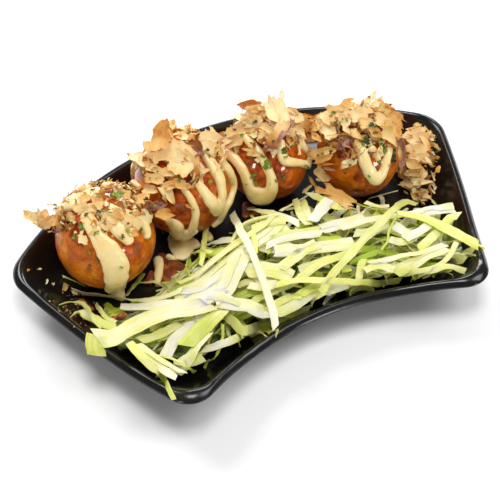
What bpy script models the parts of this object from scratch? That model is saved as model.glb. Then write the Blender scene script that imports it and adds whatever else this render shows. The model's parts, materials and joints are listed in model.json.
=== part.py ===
"""Takoyaki: four fried batter balls and shredded cabbage on a fan-shaped plate.

The plate is a shallow dish with a bowed back, a hollowed front, rounded corners and
front corners that turn up. The balls stand in a row along its back. Each wears a heap
of shaved bonito flakes, more flakes lie at the right end, and a bed of cabbage fills
the front and spills over the rim. Units are metres, +Z is up, and the origin is on
the table under the middle of the plate.
"""

import math
from collections import namedtuple

import bmesh
import bpy
import numpy as np
from mathutils import Vector
from mathutils.bvhtree import BVHTree

MM = 0.001
GAP = 0.3 * MM

# Plate plan, on the outer edge of its lip
BACK_HALF_CHORD = 110 * MM
FRONT_HALF_CHORD = 68.9 * MM
CHORD_SPACING = 103.5 * MM
BACK_BOW = 45.9 * MM
FRONT_BOW = 23.2 * MM
SIDE_BOW = 2 * MM
BACK_CORNER_REACH = 9.2 * MM
FRONT_CORNER_REACH = 13.3 * MM
CORNER_SOFTENING = 0.3
CORNER_FULLNESS = 0.75

# Plate heights
RIM_HEIGHT = 20.8 * MM
FLOOR_HEIGHT = 5 * MM
CORNER_LIFT = 5.1 * MM
CORNER_LIFT_REACH = 45 * MM
FULL_LIFT_INSET = 6 * MM
NO_LIFT_INSET = 24 * MM

# Steps along the edges and round the corners of each ring of the plate
BACK_STEPS = 28
FRONT_STEPS = 16
SIDE_STEPS = 8
CORNER_STEPS = 6

# Section of the plate from its underside, out over the lip and down to its floor:
# inset from the outer edge, then height
FOOT_SECTION = [
    (32.0 * MM, 1.4 * MM),
    (31.0 * MM, 0.0 * MM),
    (26.5 * MM, 0.0 * MM),
    (25.5 * MM, 1.0 * MM),
]
OUTER_WALL_SECTION = [
    (15.5 * MM, 4.2 * MM),
    (7.0 * MM, 11.0 * MM),
    (2.4 * MM, 16.4 * MM),
]
LIP_SECTION = [
    (0.4 * MM, 17.2 * MM),
    (0.0 * MM, 18.2 * MM),
    (0.5 * MM, 19.0 * MM),
    (1.4 * MM, 20.1 * MM),
    (2.7 * MM, RIM_HEIGHT),
    (4.0 * MM, 20.0 * MM),
]
INNER_WALL_SECTION = [
    (8.0 * MM, 13.8 * MM),
    (13.0 * MM, 7.8 * MM),
    (19.0 * MM, 5.4 * MM),
    (24.0 * MM, FLOOR_HEIGHT),
]

# Batter balls, left to right. A dent is (azimuth, angle from the top) in degrees.
Ball = namedtuple("Ball", "x y radius phase dents")
BALLS = [
    Ball(-65.6 * MM, 20.9 * MM, 21.9 * MM, 0.4, [(-141, 78)]),
    Ball(-22.5 * MM, 34.3 * MM, 22.3 * MM, 2.1, [(-60, 95)]),
    Ball(19.6 * MM, 34.2 * MM, 19.3 * MM, 3.9, []),
    Ball(58.4 * MM, 17.1 * MM, 19.5 * MM, 5.2, [(-160, 85)]),
]
BALL_SEGMENTS = 26
BALL_RINGS = 15
BALL_BASE = 0.965
LUMP_SHARE = 0.012
DENT_DEPTH = 1.3 * MM
DENT_SPREAD = math.radians(15)

# Flake heaps on the balls. A flake is (azimuth, angle from the top, how far it stands
# out of the heap, half its angular width), with the angles in degrees.
CAP_SEGMENTS = 22
CAP_OUTER_RINGS = 7
CAP_INNER_RINGS = 4
CAP_CLEARANCE = 0.8 * MM
CAP_EDGE = 0.9 * MM
CAP_THICKNESS = 3.6 * MM
CAP_REACH = 57
CAP_REACH_SWING = 12
CAP_BACK_AZIMUTH = 63
CAP_UNEVENNESS = 0.3
STANDING_FLAKES = [
    [(147, 71, 15 * MM, 10), (31, 53, 1.5 * MM, 14)],
    [(85, 44, 6 * MM, 9), (26, 52, 1.5 * MM, 10)],
    [(104, 50, 3 * MM, 10), (50, 42, 9 * MM, 11), (-6, 65, 3 * MM, 12)],
    [(40, 42, 7 * MM, 11), (12, 50, 5 * MM, 12), (109, 55, 3 * MM, 14)],
]
FLAKE_FOOTING = 6
FOOTING_SPREAD = 4

# Heaps that lie on the plate. A station is (distance along, first side, last side,
# height of the crest).
Station = namedtuple("Station", "along first last crest")
CABBAGE_STATIONS = [
    Station(-91 * MM, -18 * MM, -33 * MM, 26.5 * MM),
    Station(-80 * MM, -8 * MM, -42 * MM, 25 * MM),
    Station(-70 * MM, -3 * MM, -60 * MM, 23 * MM),
    Station(-56 * MM, -2 * MM, -50 * MM, 21 * MM),
    Station(-42 * MM, 1 * MM, -48 * MM, 22 * MM),
    Station(-28 * MM, 6 * MM, -46 * MM, 26 * MM),
    Station(-12 * MM, 9 * MM, -45 * MM, 28 * MM),
    Station(2 * MM, 14 * MM, -43 * MM, 28 * MM),
    Station(18 * MM, 12 * MM, -44 * MM, 27 * MM),
    Station(33 * MM, 15 * MM, -48 * MM, 27 * MM),
    Station(47 * MM, 5 * MM, -54 * MM, 26 * MM),
    Station(60 * MM, -3 * MM, -58 * MM, 25 * MM),
    Station(73 * MM, -13 * MM, -59 * MM, 24 * MM),
    Station(82 * MM, -29 * MM, -57 * MM, 26 * MM),
]
CABBAGE_COLUMNS = 30
CABBAGE_ROWS = 8
SIDE_FLAKE_STATIONS = [
    Station(-12 * MM, 76 * MM, 84 * MM, 14 * MM),
    Station(-4 * MM, 77 * MM, 91 * MM, 19 * MM),
    Station(8 * MM, 78 * MM, 96 * MM, 26 * MM),
    Station(18 * MM, 79 * MM, 98 * MM, 28 * MM),
    Station(27 * MM, 84 * MM, 97 * MM, 23 * MM),
]
SIDE_FLAKE_COLUMNS = 9
SIDE_FLAKE_ROWS = 5
HEAP_EDGE = 1.2 * MM
HEAP_FULLNESS = 0.4
HEAP_UNEVENNESS = 1.2 * MM
SUPPORT_REACHES = (0.0, 3 * MM, 5.8 * MM)
SUPPORT_SAMPLES = 12

MATERIALS = {
    "plate": ((0.012, 0.011, 0.010), 0.22),
    "batter": ((0.46, 0.17, 0.035), 0.42),
    "flake": ((0.68, 0.43, 0.24), 0.60),
    "cabbage": ((0.74, 0.79, 0.42), 0.45),
}


# ---------------------------------------------------------------- shared helpers

def clear_scene():
    """Remove what the file holds, so that the script starts from nothing."""
    for scene_object in list(bpy.data.objects):
        bpy.data.objects.remove(scene_object, do_unlink=True)


def make_material(name, base_color, roughness):
    """A Principled material of one colour."""
    material = bpy.data.materials.new(name)
    material.use_nodes = True
    shader = material.node_tree.nodes["Principled BSDF"]
    shader.inputs["Base Color"].default_value = (*base_color, 1.0)
    shader.inputs["Roughness"].default_value = roughness
    shader.inputs["Metallic"].default_value = 0.0
    return material


def make_object(name, vertices, faces, material, parent):
    """An object from points and faces, with its faces turned outwards."""
    build = bmesh.new()
    corners = [build.verts.new(point) for point in vertices]
    for face in faces:
        build.faces.new([corners[index] for index in face])
    bmesh.ops.recalc_face_normals(build, faces=build.faces)
    mesh = bpy.data.meshes.new(name)
    build.to_mesh(mesh)
    build.free()
    mesh.shade_smooth()
    mesh.set_sharp_from_angle(angle=math.radians(50))
    mesh.materials.append(material)
    item = bpy.data.objects.new(name, mesh)
    item.parent = parent
    bpy.context.collection.objects.link(item)
    return item


def ring_faces(lower, upper, count):
    """Quads between two rings of count points, given the index each one starts at."""
    faces = []
    for index in range(count):
        following = (index + 1) % count
        faces.append((lower + index, lower + following, upper + following, upper + index))
    return faces


def fan_faces(tip, ring, count):
    """Triangles from one point to a ring."""
    return [(tip, ring + index, ring + (index + 1) % count) for index in range(count)]


def direction(azimuth, polar):
    """Unit vector at an azimuth from +X and an angle from +Z, in radians."""
    across = math.sin(polar)
    return Vector((across * math.cos(azimuth), across * math.sin(azimuth), math.cos(polar)))


# ---------------------------------------------------------------- plate

def circle_radius(half_chord, bow):
    """Radius of the circle through a chord's ends and a point bow away from it."""
    return (half_chord ** 2 + bow ** 2) / (2 * bow)


def circle_bow(half_chord, radius):
    """How far a circle rises over a chord."""
    return radius - math.sqrt(radius ** 2 - half_chord ** 2)


def edge_points(start, end, bow, trims, steps):
    """Points on an arc that bows to the left, less a trim along it at either end."""
    half = (end - start).length / 2
    radius = circle_radius(half, abs(bow))
    along = (end - start).normalized()
    left = Vector((-along.y, along.x)) * math.copysign(1, bow)
    middle = (start + end) / 2
    half_angle = math.asin(half / radius)
    first = trims[0] / radius - half_angle
    last = half_angle - trims[1] / radius
    points = []
    for step in range(steps + 1):
        angle = first + (last - first) * step / steps
        rise = radius * (math.cos(angle) - math.cos(half_angle))
        points.append(middle + along * radius * math.sin(angle) + left * rise)
    return points


def corner_points(before, corner, after):
    """Points of a rounded corner between two edge ends, without those ends."""
    points = []
    for step in range(1, CORNER_STEPS):
        t = step / CORNER_STEPS
        weights = ((1 - t) ** 2, 2 * CORNER_FULLNESS * t * (1 - t), t ** 2)
        blend = before * weights[0] + corner * weights[1] + after * weights[2]
        points.append(blend / sum(weights))
    return points


def highest_crossing(point, along, centre_y, radius):
    """Upper point where a line meets a circle whose centre is on the Y axis."""
    offset = point - Vector((0, centre_y))
    half_slope = offset.dot(along)
    root = math.sqrt(half_slope ** 2 - offset.length_squared + radius ** 2)
    crossings = [point + along * (sign * root - half_slope) for sign in (-1, 1)]
    return max(crossings, key=lambda crossing: crossing.y)


def plate_ring(inset):
    """Plan of the plate's edge moved inwards, with the back corners' chord at y = 0."""
    back_right = Vector((BACK_HALF_CHORD, 0))
    front_right = Vector((FRONT_HALF_CHORD, -CHORD_SPACING))
    along = (back_right - front_right).normalized()
    side_point = back_right + Vector((-along.y, along.x)) * inset
    back_radius = circle_radius(BACK_HALF_CHORD, BACK_BOW) - inset
    back_centre = BACK_BOW - circle_radius(BACK_HALF_CHORD, BACK_BOW)
    front_radius = circle_radius(FRONT_HALF_CHORD, FRONT_BOW) + inset
    front_centre = FRONT_BOW - CHORD_SPACING - circle_radius(FRONT_HALF_CHORD, FRONT_BOW)
    back_right = highest_crossing(side_point, along, back_centre, back_radius)
    front_right = highest_crossing(side_point, along, front_centre, front_radius)
    back_left = Vector((-back_right.x, back_right.y))
    front_left = Vector((-front_right.x, front_right.y))
    back_reach = BACK_CORNER_REACH + CORNER_SOFTENING * inset
    front_reach = FRONT_CORNER_REACH + CORNER_SOFTENING * inset
    back_bow = circle_bow(back_right.x, back_radius)
    front_bow = circle_bow(front_right.x, front_radius)
    edges = [
        edge_points(back_left, back_right, back_bow, (back_reach, back_reach), BACK_STEPS),
        edge_points(back_right, front_right, SIDE_BOW, (back_reach, front_reach), SIDE_STEPS),
        edge_points(front_right, front_left, -front_bow, (front_reach, front_reach), FRONT_STEPS),
        edge_points(front_left, back_left, SIDE_BOW, (front_reach, back_reach), SIDE_STEPS),
    ]
    corners = [back_right, front_right, front_left, back_left]
    ring = []
    for index, corner in enumerate(corners):
        following = edges[(index + 1) % len(edges)]
        ring += edges[index]
        ring += corner_points(edges[index][-1], corner, following[0])
    return ring


def plan_middle():
    """Y of the middle of the plate's plan, from the back corners' chord."""
    depths = [point.y for point in plate_ring(0)]
    return (min(depths) + max(depths)) / 2


PLAN_MIDDLE = plan_middle()


def corner_lift(x, y):
    """Share of the front corners' lift at a point of the plan."""
    corner_y = -CHORD_SPACING - PLAN_MIDDLE
    distance = math.hypot(abs(x) - FRONT_HALF_CHORD, y - corner_y)
    if distance > CORNER_LIFT_REACH:
        return 0.0
    return 0.5 + 0.5 * math.cos(math.pi * distance / CORNER_LIFT_REACH)


def lift_share(inset):
    """Share of the corner lift at an inset: all of it at the lip, none at the foot."""
    share = (NO_LIFT_INSET - inset) / (NO_LIFT_INSET - FULL_LIFT_INSET)
    share = min(1.0, max(0.0, share))
    return share * share * (3 - 2 * share)


def build_plate(material, parent):
    """The dish: a loft of rings through its section, closed by its base and floor."""
    section = FOOT_SECTION + OUTER_WALL_SECTION + LIP_SECTION + INNER_WALL_SECTION
    vertices = []
    faces = []
    for inset, height in section:
        for point in plate_ring(inset):
            x = point.x
            y = point.y - PLAN_MIDDLE
            lift = CORNER_LIFT * lift_share(inset) * corner_lift(x, y)
            vertices.append(Vector((x, y, height + lift)))
    count = len(vertices) // len(section)
    for level in range(len(section) - 1):
        faces += ring_faces(level * count, (level + 1) * count, count)
    faces.append(tuple(range(count)))
    faces.append(tuple(range(len(vertices) - count, len(vertices))))
    return make_object("plate", vertices, faces, material, parent)


# ---------------------------------------------------------------- batter balls

def ball_centre(ball):
    """Centre of a ball that stands on the plate's floor."""
    return Vector((ball.x, ball.y, FLOOR_HEIGHT + GAP + BALL_BASE * ball.radius))


def ball_reach(ball, way):
    """Distance from a ball's centre to its crust along a unit vector."""
    swell = math.sin(2.3 * way.x + ball.phase) * math.sin(2.9 * way.y + 1.7 * ball.phase)
    roll = 0.6 * math.sin(3.7 * way.z + 1.9 * way.x + 2.1 * ball.phase)
    reach = ball.radius * (1 + LUMP_SHARE * (swell + roll))
    for azimuth, polar in ball.dents:
        away = way.angle(direction(math.radians(azimuth), math.radians(polar)))
        reach -= DENT_DEPTH * math.exp(-(away / DENT_SPREAD) ** 2)
    if way.z < 0:
        reach = min(reach, BALL_BASE * ball.radius / -way.z)
    return reach


def build_ball(name, ball, material, parent):
    """A slightly uneven ball with a small flat base."""
    centre = ball_centre(ball)
    top = Vector((0, 0, 1))
    vertices = [centre + top * ball_reach(ball, top)]
    for ring in range(1, BALL_RINGS):
        polar = math.pi * ring / BALL_RINGS
        for segment in range(BALL_SEGMENTS):
            way = direction(2 * math.pi * segment / BALL_SEGMENTS, polar)
            vertices.append(centre + way * ball_reach(ball, way))
    vertices.append(centre - top * ball_reach(ball, -top))
    faces = fan_faces(0, 1, BALL_SEGMENTS)
    for ring in range(BALL_RINGS - 2):
        start = 1 + ring * BALL_SEGMENTS
        faces += ring_faces(start, start + BALL_SEGMENTS, BALL_SEGMENTS)
    last_ring = 1 + (BALL_RINGS - 2) * BALL_SEGMENTS
    faces += fan_faces(len(vertices) - 1, last_ring, BALL_SEGMENTS)
    return make_object(name, vertices, faces, material, parent)


# ---------------------------------------------------------------- flakes on the balls

def keep_to_own_side(point, ball, others):
    """Move a point back to its ball's side of the middle plane to each other ball."""
    for other in others:
        gap_way = ball_centre(other) - ball_centre(ball)
        limit = (gap_way.length + ball.radius - other.radius) / 2 - GAP
        gap_way.normalize()
        beyond = (point - ball_centre(ball)).dot(gap_way) - limit
        if beyond > 0:
            point = point - gap_way * beyond
    return point


def flake_rise(azimuth, polar, flakes):
    """How far the standing flakes rise over the heap in a direction."""
    way = direction(azimuth, polar)
    rise = 0.0
    for flake_azimuth, flake_polar, height, width in flakes:
        away = way.angle(direction(math.radians(flake_azimuth), math.radians(flake_polar)))
        rise += height * math.exp(-(away / math.radians(width)) ** 2)
    return rise


def footed_reach(azimuth, reach, flakes):
    """The heap's reach, brought down smoothly to where its lowest flakes stand."""
    for flake_azimuth, flake_polar, _, width in flakes:
        away = direction(azimuth, math.pi / 2).angle(
            direction(math.radians(flake_azimuth), math.pi / 2))
        spread = math.radians(FOOTING_SPREAD * width)
        wanted = math.radians(flake_polar + FLAKE_FOOTING)
        if away < spread and wanted > reach:
            reach += (wanted - reach) * math.cos(math.pi / 2 * away / spread) ** 2
    return reach


def build_flake_heap(name, ball, others, flakes, seed, material, parent):
    """A cap of flakes over a ball, uneven above and fitted to the crust below."""
    random = np.random.default_rng(seed)
    centre = ball_centre(ball)
    reaches = []
    for segment in range(CAP_SEGMENTS):
        azimuth = 2 * math.pi * segment / CAP_SEGMENTS
        swing = CAP_REACH_SWING * math.cos(azimuth - math.radians(CAP_BACK_AZIMUTH))
        reach = math.radians(CAP_REACH + swing + random.uniform(-4, 4))
        reaches.append(footed_reach(azimuth, reach, flakes))

    def cap_point(segment, share, thickness):
        azimuth = 2 * math.pi * segment / CAP_SEGMENTS
        way = direction(azimuth, reaches[segment] * share)
        point = centre + way * (ball_reach(ball, way) + CAP_CLEARANCE + thickness)
        return keep_to_own_side(point, ball, others)

    vertices = [cap_point(0, 0, CAP_THICKNESS)]
    for ring in range(1, CAP_OUTER_RINGS + 1):
        share = ring / CAP_OUTER_RINGS
        fall = math.sqrt(1 - 0.9 * share ** 3)
        for segment in range(CAP_SEGMENTS):
            azimuth = 2 * math.pi * segment / CAP_SEGMENTS
            uneven = 1 + CAP_UNEVENNESS * share * random.uniform(-1, 1)
            thickness = CAP_EDGE + (CAP_THICKNESS - CAP_EDGE) * fall * uneven
            thickness += flake_rise(azimuth, reaches[segment] * share, flakes)
            vertices.append(cap_point(segment, share, thickness))
    for ring in range(CAP_INNER_RINGS, 0, -1):
        for segment in range(CAP_SEGMENTS):
            vertices.append(cap_point(segment, ring / CAP_INNER_RINGS, 0))
    vertices.append(cap_point(0, 0, 0))

    faces = fan_faces(0, 1, CAP_SEGMENTS)
    for ring in range(CAP_OUTER_RINGS + CAP_INNER_RINGS - 1):
        start = 1 + ring * CAP_SEGMENTS
        faces += ring_faces(start, start + CAP_SEGMENTS, CAP_SEGMENTS)
    faces += fan_faces(len(vertices) - 1, len(vertices) - 1 - CAP_SEGMENTS, CAP_SEGMENTS)
    return make_object(name, vertices, faces, material, parent)


# ---------------------------------------------------------------- heaps on the plate

def support_height(tree, x, y):
    """Highest point of the plate close to a point of the plan."""
    heights = []
    for reach in SUPPORT_REACHES:
        for sample in range(SUPPORT_SAMPLES):
            angle = 2 * math.pi * sample / SUPPORT_SAMPLES
            above = Vector((x + reach * math.cos(angle), y + reach * math.sin(angle), 1))
            hit = tree.ray_cast(above, Vector((0, 0, -1)))[0]
            if hit:
                heights.append(hit.z)
    return max(heights)


def clear_of_balls(x, y):
    """Push a point of the plan out of the balls' outlines."""
    for ball in BALLS:
        away = Vector((x - ball.x, y - ball.y))
        limit = ball.radius * (1 + 2 * LUMP_SHARE) + 2 * GAP
        if away.length < limit:
            away *= limit / away.length
            x = ball.x + away.x
            y = ball.y + away.y
    return x, y


def build_heap(name, stations, columns, rows, swapped, tree, seed, material, parent):
    """A loose heap that follows the plate below and is uneven above."""
    random = np.random.default_rng(seed)
    along = [station.along for station in stations]
    upper = []
    lower = []
    for column in range(columns + 1):
        distance = along[0] + (along[-1] - along[0]) * column / columns
        first = np.interp(distance, along, [station.first for station in stations])
        last = np.interp(distance, along, [station.last for station in stations])
        crest = np.interp(distance, along, [station.crest for station in stations])
        end_fall = math.sin(math.pi * min(1.0, (column + 0.4) / columns))
        for row in range(rows + 1):
            share = row / rows
            side = first + (last - first) * share
            side += HEAP_UNEVENNESS * random.uniform(-1, 1)
            x, y = (side, distance) if swapped else (distance, side)
            x, y = clear_of_balls(float(x), float(y))
            floor = support_height(tree, x, y) + GAP
            fall = math.sin(math.pi * (share * 0.94 + 0.03)) * end_fall
            rise = max(0.0, crest - floor) * fall ** HEAP_FULLNESS
            rise += HEAP_UNEVENNESS * random.uniform(-1, 1) * fall
            lower.append(Vector((x, y, floor)))
            upper.append(Vector((x, y, floor + HEAP_EDGE + max(0.0, rise))))
    width = rows + 1
    count = len(upper)
    faces = []
    for column in range(columns):
        for row in range(rows):
            corner = column * width + row
            quad = (corner, corner + 1, corner + 1 + width, corner + width)
            faces.append(quad)
            faces.append(tuple(count + index for index in reversed(quad)))
    border = list(range(width))
    border += [column * width + rows for column in range(1, columns + 1)]
    border += [columns * width + row for row in range(rows - 1, -1, -1)]
    border += [column * width for column in range(columns - 1, 0, -1)]
    for index, start in enumerate(border):
        end = border[(index + 1) % len(border)]
        faces.append((start, end, count + end, count + start))
    return make_object(name, upper + lower, faces, material, parent)


# ---------------------------------------------------------------- assembly

def main():
    """Build the plate, then what stands and lies on it."""
    clear_scene()
    materials = {}
    for slot, (base_color, roughness) in MATERIALS.items():
        materials[slot] = make_material(slot, base_color, roughness)
    root = bpy.data.objects.new("takoyaki", None)
    bpy.context.collection.objects.link(root)

    plate = build_plate(materials["plate"], root)
    for index, ball in enumerate(BALLS):
        number = index + 1
        others = BALLS[max(0, index - 1):index] + BALLS[index + 1:index + 2]
        build_ball(f"ball_{number}", ball, materials["batter"], root)
        build_flake_heap(f"flakes_{number}", ball, others, STANDING_FLAKES[index],
                         number, materials["flake"], root)

    bpy.context.view_layer.update()
    tree = BVHTree.FromObject(plate, bpy.context.evaluated_depsgraph_get())
    build_heap("cabbage", CABBAGE_STATIONS, CABBAGE_COLUMNS, CABBAGE_ROWS, False,
               tree, 7, materials["cabbage"], root)
    build_heap("flakes_side", SIDE_FLAKE_STATIONS, SIDE_FLAKE_COLUMNS, SIDE_FLAKE_ROWS,
               True, tree, 8, materials["flake"], root)


main()
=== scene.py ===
# %% [markdown]
# # A plate of takoyaki, finished piece by piece
# Four fried batter balls stand on a black fan-shaped plate, under sauce, mayonnaise and
# shaved bonito, with shredded cabbage beside them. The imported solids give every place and
# size. This lesson covers them with the real things: crust, sauces, shavings and shreds.

# %% Load the solids and keep their box
import json
import math

import bmesh
import bpy
import numpy as np
from mathutils import Euler, Matrix, Vector, noise
from mathutils.bvhtree import BVHTree

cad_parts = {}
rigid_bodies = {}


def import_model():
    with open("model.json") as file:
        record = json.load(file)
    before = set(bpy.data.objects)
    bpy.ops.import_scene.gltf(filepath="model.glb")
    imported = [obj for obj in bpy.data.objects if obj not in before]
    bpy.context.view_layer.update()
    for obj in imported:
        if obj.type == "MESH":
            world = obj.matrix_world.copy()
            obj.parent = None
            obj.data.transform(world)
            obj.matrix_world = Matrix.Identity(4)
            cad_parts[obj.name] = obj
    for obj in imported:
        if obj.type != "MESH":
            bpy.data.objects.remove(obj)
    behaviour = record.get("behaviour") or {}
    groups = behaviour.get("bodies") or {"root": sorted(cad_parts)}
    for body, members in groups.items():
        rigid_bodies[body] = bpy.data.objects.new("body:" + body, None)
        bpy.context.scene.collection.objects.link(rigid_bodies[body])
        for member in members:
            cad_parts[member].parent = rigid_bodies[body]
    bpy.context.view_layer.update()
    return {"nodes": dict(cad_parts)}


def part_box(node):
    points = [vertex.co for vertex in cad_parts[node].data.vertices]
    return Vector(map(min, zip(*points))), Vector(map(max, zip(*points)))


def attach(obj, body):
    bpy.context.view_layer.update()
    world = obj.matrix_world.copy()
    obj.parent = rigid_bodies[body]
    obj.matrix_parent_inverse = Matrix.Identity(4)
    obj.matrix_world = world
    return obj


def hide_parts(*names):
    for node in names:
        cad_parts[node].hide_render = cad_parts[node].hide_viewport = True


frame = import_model()
MM = 0.001
NODES = frame["nodes"]

# %% [markdown]
# ## Camera, floor and light
# A studio shot of food uses a long lens from a standing person's height, over white card.
# Two soft boxes behind the plate draw its rims, with a dark gap left in the direction that
# the plate's flat floor mirrors, and so the plate stays black. A box nearly overhead and one
# at the right keep shadows short and soft. Two small boxes stand low on the camera's side,
# because wet sauce shows as a few small white glints.

# %% Camera
camera_data = bpy.data.cameras.new("camera")
camera_data.lens = 86.4
camera_data.sensor_width = 36
camera = bpy.data.objects.new("camera", camera_data)
bpy.context.collection.objects.link(camera)
camera.location = Vector((-167.15, -312.75, 411.94)) * MM
look_at = Vector((-10.04, -7.30, 18.2)) * MM
camera.rotation_euler = (look_at - camera.location).to_track_quat("-Z", "Y").to_euler()
bpy.context.scene.camera = camera
bpy.context.scene.view_settings.view_transform = "Standard"
print("the camera stands", round((look_at - camera.location).length / MM), "mm away")


# %% [markdown]
# ## Helpers for finishes
# A finish is a tree of shader nodes. Short functions add the nodes, so that each finish reads
# as a list of what it looks like. Two effects that most finishes share, blotches with grain
# and wrinkles with pits, are node groups, because each finish can then set its own sizes.

# %% Helpers for shader nodes
def feed(tree, socket, value):
    """Link a socket to another that gives its value, or set a plain value."""
    if isinstance(value, bpy.types.NodeSocket):
        tree.links.new(value, socket)
    else:
        socket.default_value = value


def add_node(tree, kind, inputs=None, **settings):
    """Add a node, set its options, and feed its inputs by name or number."""
    made = tree.nodes.new(kind)
    for option, value in settings.items():
        setattr(made, option, value)
    for socket, value in (inputs or {}).items():
        feed(tree, made.inputs[socket], value)
    return made


def start_tree(name, kind, inputs, outputs):
    """A node tree with named inputs and outputs: the tree, what comes in and what goes out."""
    tree = bpy.data.node_groups.new(name, kind)
    for way, sockets in (("INPUT", inputs), ("OUTPUT", outputs)):
        for socket, socket_kind in sockets.items():
            tree.interface.new_socket(socket, in_out=way, socket_type="NodeSocket" + socket_kind)
    return tree, tree.nodes.new("NodeGroupInput").outputs, tree.nodes.new("NodeGroupOutput").inputs


# %% Colours and numbers in a tree
def color_ramp(tree, factor, stops):
    """A colour ramp with stops given as (position, (red, green, blue))."""
    made = add_node(tree, "ShaderNodeValToRGB", {"Fac": factor})
    elements = made.color_ramp.elements
    while len(elements) < len(stops):
        elements.new(0.5)
    for element, (position, color) in zip(elements, stops):
        element.position = position
        element.color = (*color, 1.0)
    return made.outputs["Color"]


def mix_colors(tree, factor, first, second):
    """Blend two colours, where each may be a socket or an (r, g, b)."""
    made = add_node(tree, "ShaderNodeMix", {0: factor}, data_type="RGBA")
    for socket, value in zip(made.inputs[6:8], (first, second)):
        feed(tree, socket, value if isinstance(value, bpy.types.NodeSocket) else (*value, 1.0))
    return made.outputs[2]


def math_node(tree, operation, first, second=0.0, clamp=False):
    """One arithmetic step on two values or sockets."""
    made = add_node(tree, "ShaderNodeMath", {0: first, 1: second}, operation=operation)
    made.use_clamp = clamp
    return made.outputs[0]


def remap(tree, value, low, high, new_low, new_high):
    """Stretch a range of a value onto another, clamped."""
    made = add_node(tree, "ShaderNodeMapRange", {
        "Value": value, "From Min": low, "From Max": high,
        "To Min": new_low, "To Max": new_high})
    return made.outputs["Result"]


def middle_remap(tree, value, new_low, new_high):
    """Stretch the middle of a noise value, from 0.2 to 0.8, onto a range."""
    return remap(tree, value, 0.2, 0.8, new_low, new_high)


def named_value(tree, name):
    """An attribute stored on the mesh, as a number."""
    return add_node(tree, "ShaderNodeAttribute", attribute_name=name).outputs["Fac"]


# %% Start and finish a material
def start_material(name, **surface):
    """A material and its Principled shader, with what is uniform set on the sockets."""
    material = bpy.data.materials.new(name)
    material.use_nodes = True
    shader = material.node_tree.nodes["Principled BSDF"]
    for socket, value in surface.items():
        shader.inputs[socket.replace("_", " ")].default_value = value
    return material, material.node_tree, shader


def finish_surface(tree, shader, color, roughness, height, distance, strength):
    """Feed a colour, a roughness and the bump of a height to a shader."""
    feed(tree, shader.inputs["Base Color"], color)
    feed(tree, shader.inputs["Roughness"], roughness)
    bump = add_node(tree, "ShaderNodeBump", {
        "Height": height, "Distance": distance, "Strength": strength})
    for socket in ("Normal", "Coat Normal"):
        tree.links.new(bump.outputs["Normal"], shader.inputs[socket])


# %% Shared effects as node groups
def noise_group():
    """Soft blotches and fine grain on object coordinates, each as a value from 0 to 1."""
    tree, given, result = start_tree(
        "blotch_and_grain", "ShaderNodeTree",
        {"Blotch Size": "Float", "Grain Size": "Float", "Contrast": "Float"},
        {"Blotch": "Float", "Grain": "Float"})
    place = add_node(tree, "ShaderNodeTexCoord").outputs["Object"]
    for name in ("Blotch", "Grain"):
        scale = math_node(tree, "DIVIDE", 1.0, given[name + " Size"])
        spots = add_node(tree, "ShaderNodeTexNoise", {
            "Vector": place, "Scale": scale, "Detail": 4.0, "Roughness": 0.6})
        centred = math_node(tree, "SUBTRACT", spots.outputs["Fac"], 0.5)
        stronger = math_node(tree, "MULTIPLY", centred, given["Contrast"])
        tree.links.new(math_node(tree, "ADD", stronger, 0.5, clamp=True), result[name])
    return tree


def crumple_group():
    """Height of wrinkles with pits in them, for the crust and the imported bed."""
    tree, given, result = start_tree(
        "wrinkles_and_pits", "ShaderNodeTree",
        {"Wrinkle Size": "Float", "Pit Size": "Float", "Pit Share": "Float"}, {"Height": "Float"})
    place = add_node(tree, "ShaderNodeTexCoord").outputs["Object"]
    folds = add_node(tree, "ShaderNodeTexNoise", {
        "Vector": place, "Detail": 5.0, "Roughness": 0.55, "Distortion": 0.8,
        "Scale": math_node(tree, "DIVIDE", 1.0, given["Wrinkle Size"])})
    pits = add_node(tree, "ShaderNodeTexVoronoi", {
        "Vector": place, "Scale": math_node(tree, "DIVIDE", 1.0, given["Pit Size"])})
    pits.feature = "SMOOTH_F1"
    depth = math_node(tree, "MULTIPLY", pits.outputs["Distance"], given["Pit Share"])
    tree.links.new(math_node(tree, "ADD", folds.outputs["Fac"], depth), result["Height"])
    return tree


BLOTCHES = noise_group()
CRUMPLE = crumple_group()


def add_group(tree, group, **inputs):
    """Place a node group with its own values."""
    made = add_node(tree, "ShaderNodeGroup", node_tree=group)
    for name, value in inputs.items():
        made.inputs[name.replace("_", " ")].default_value = value
    return made.outputs


print("shared effects:", BLOTCHES.name, "and", CRUMPLE.name)

# %% Floor
FLOOR_HALF = 3.0
floor_mesh = bpy.data.meshes.new("floor")
floor_corners = [(x * FLOOR_HALF, y * FLOOR_HALF, 0) for x, y in ((-1, -1), (1, -1), (1, 1), (-1, 1))]
floor_mesh.from_pydata(floor_corners, [], [(0, 1, 2, 3)])
floor = bpy.data.objects.new("floor", floor_mesh)
bpy.context.collection.objects.link(floor)
floor_material, tree, shader = start_material("white_card", Roughness=0.9)
fibres = add_group(tree, BLOTCHES, Blotch_Size=0.3, Grain_Size=0.002, Contrast=1.0)
card = color_ramp(tree, fibres["Grain"], [(0, (0.89, 0.89, 0.89)), (1, (0.91, 0.91, 0.91))])
tree.links.new(card, shader.inputs["Base Color"])
floor_mesh.materials.append(floor_material)
print("the floor is", 2 * FLOOR_HALF, "m wide")


# %% Lights
LIGHT_DISTANCE = 1.25


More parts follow.
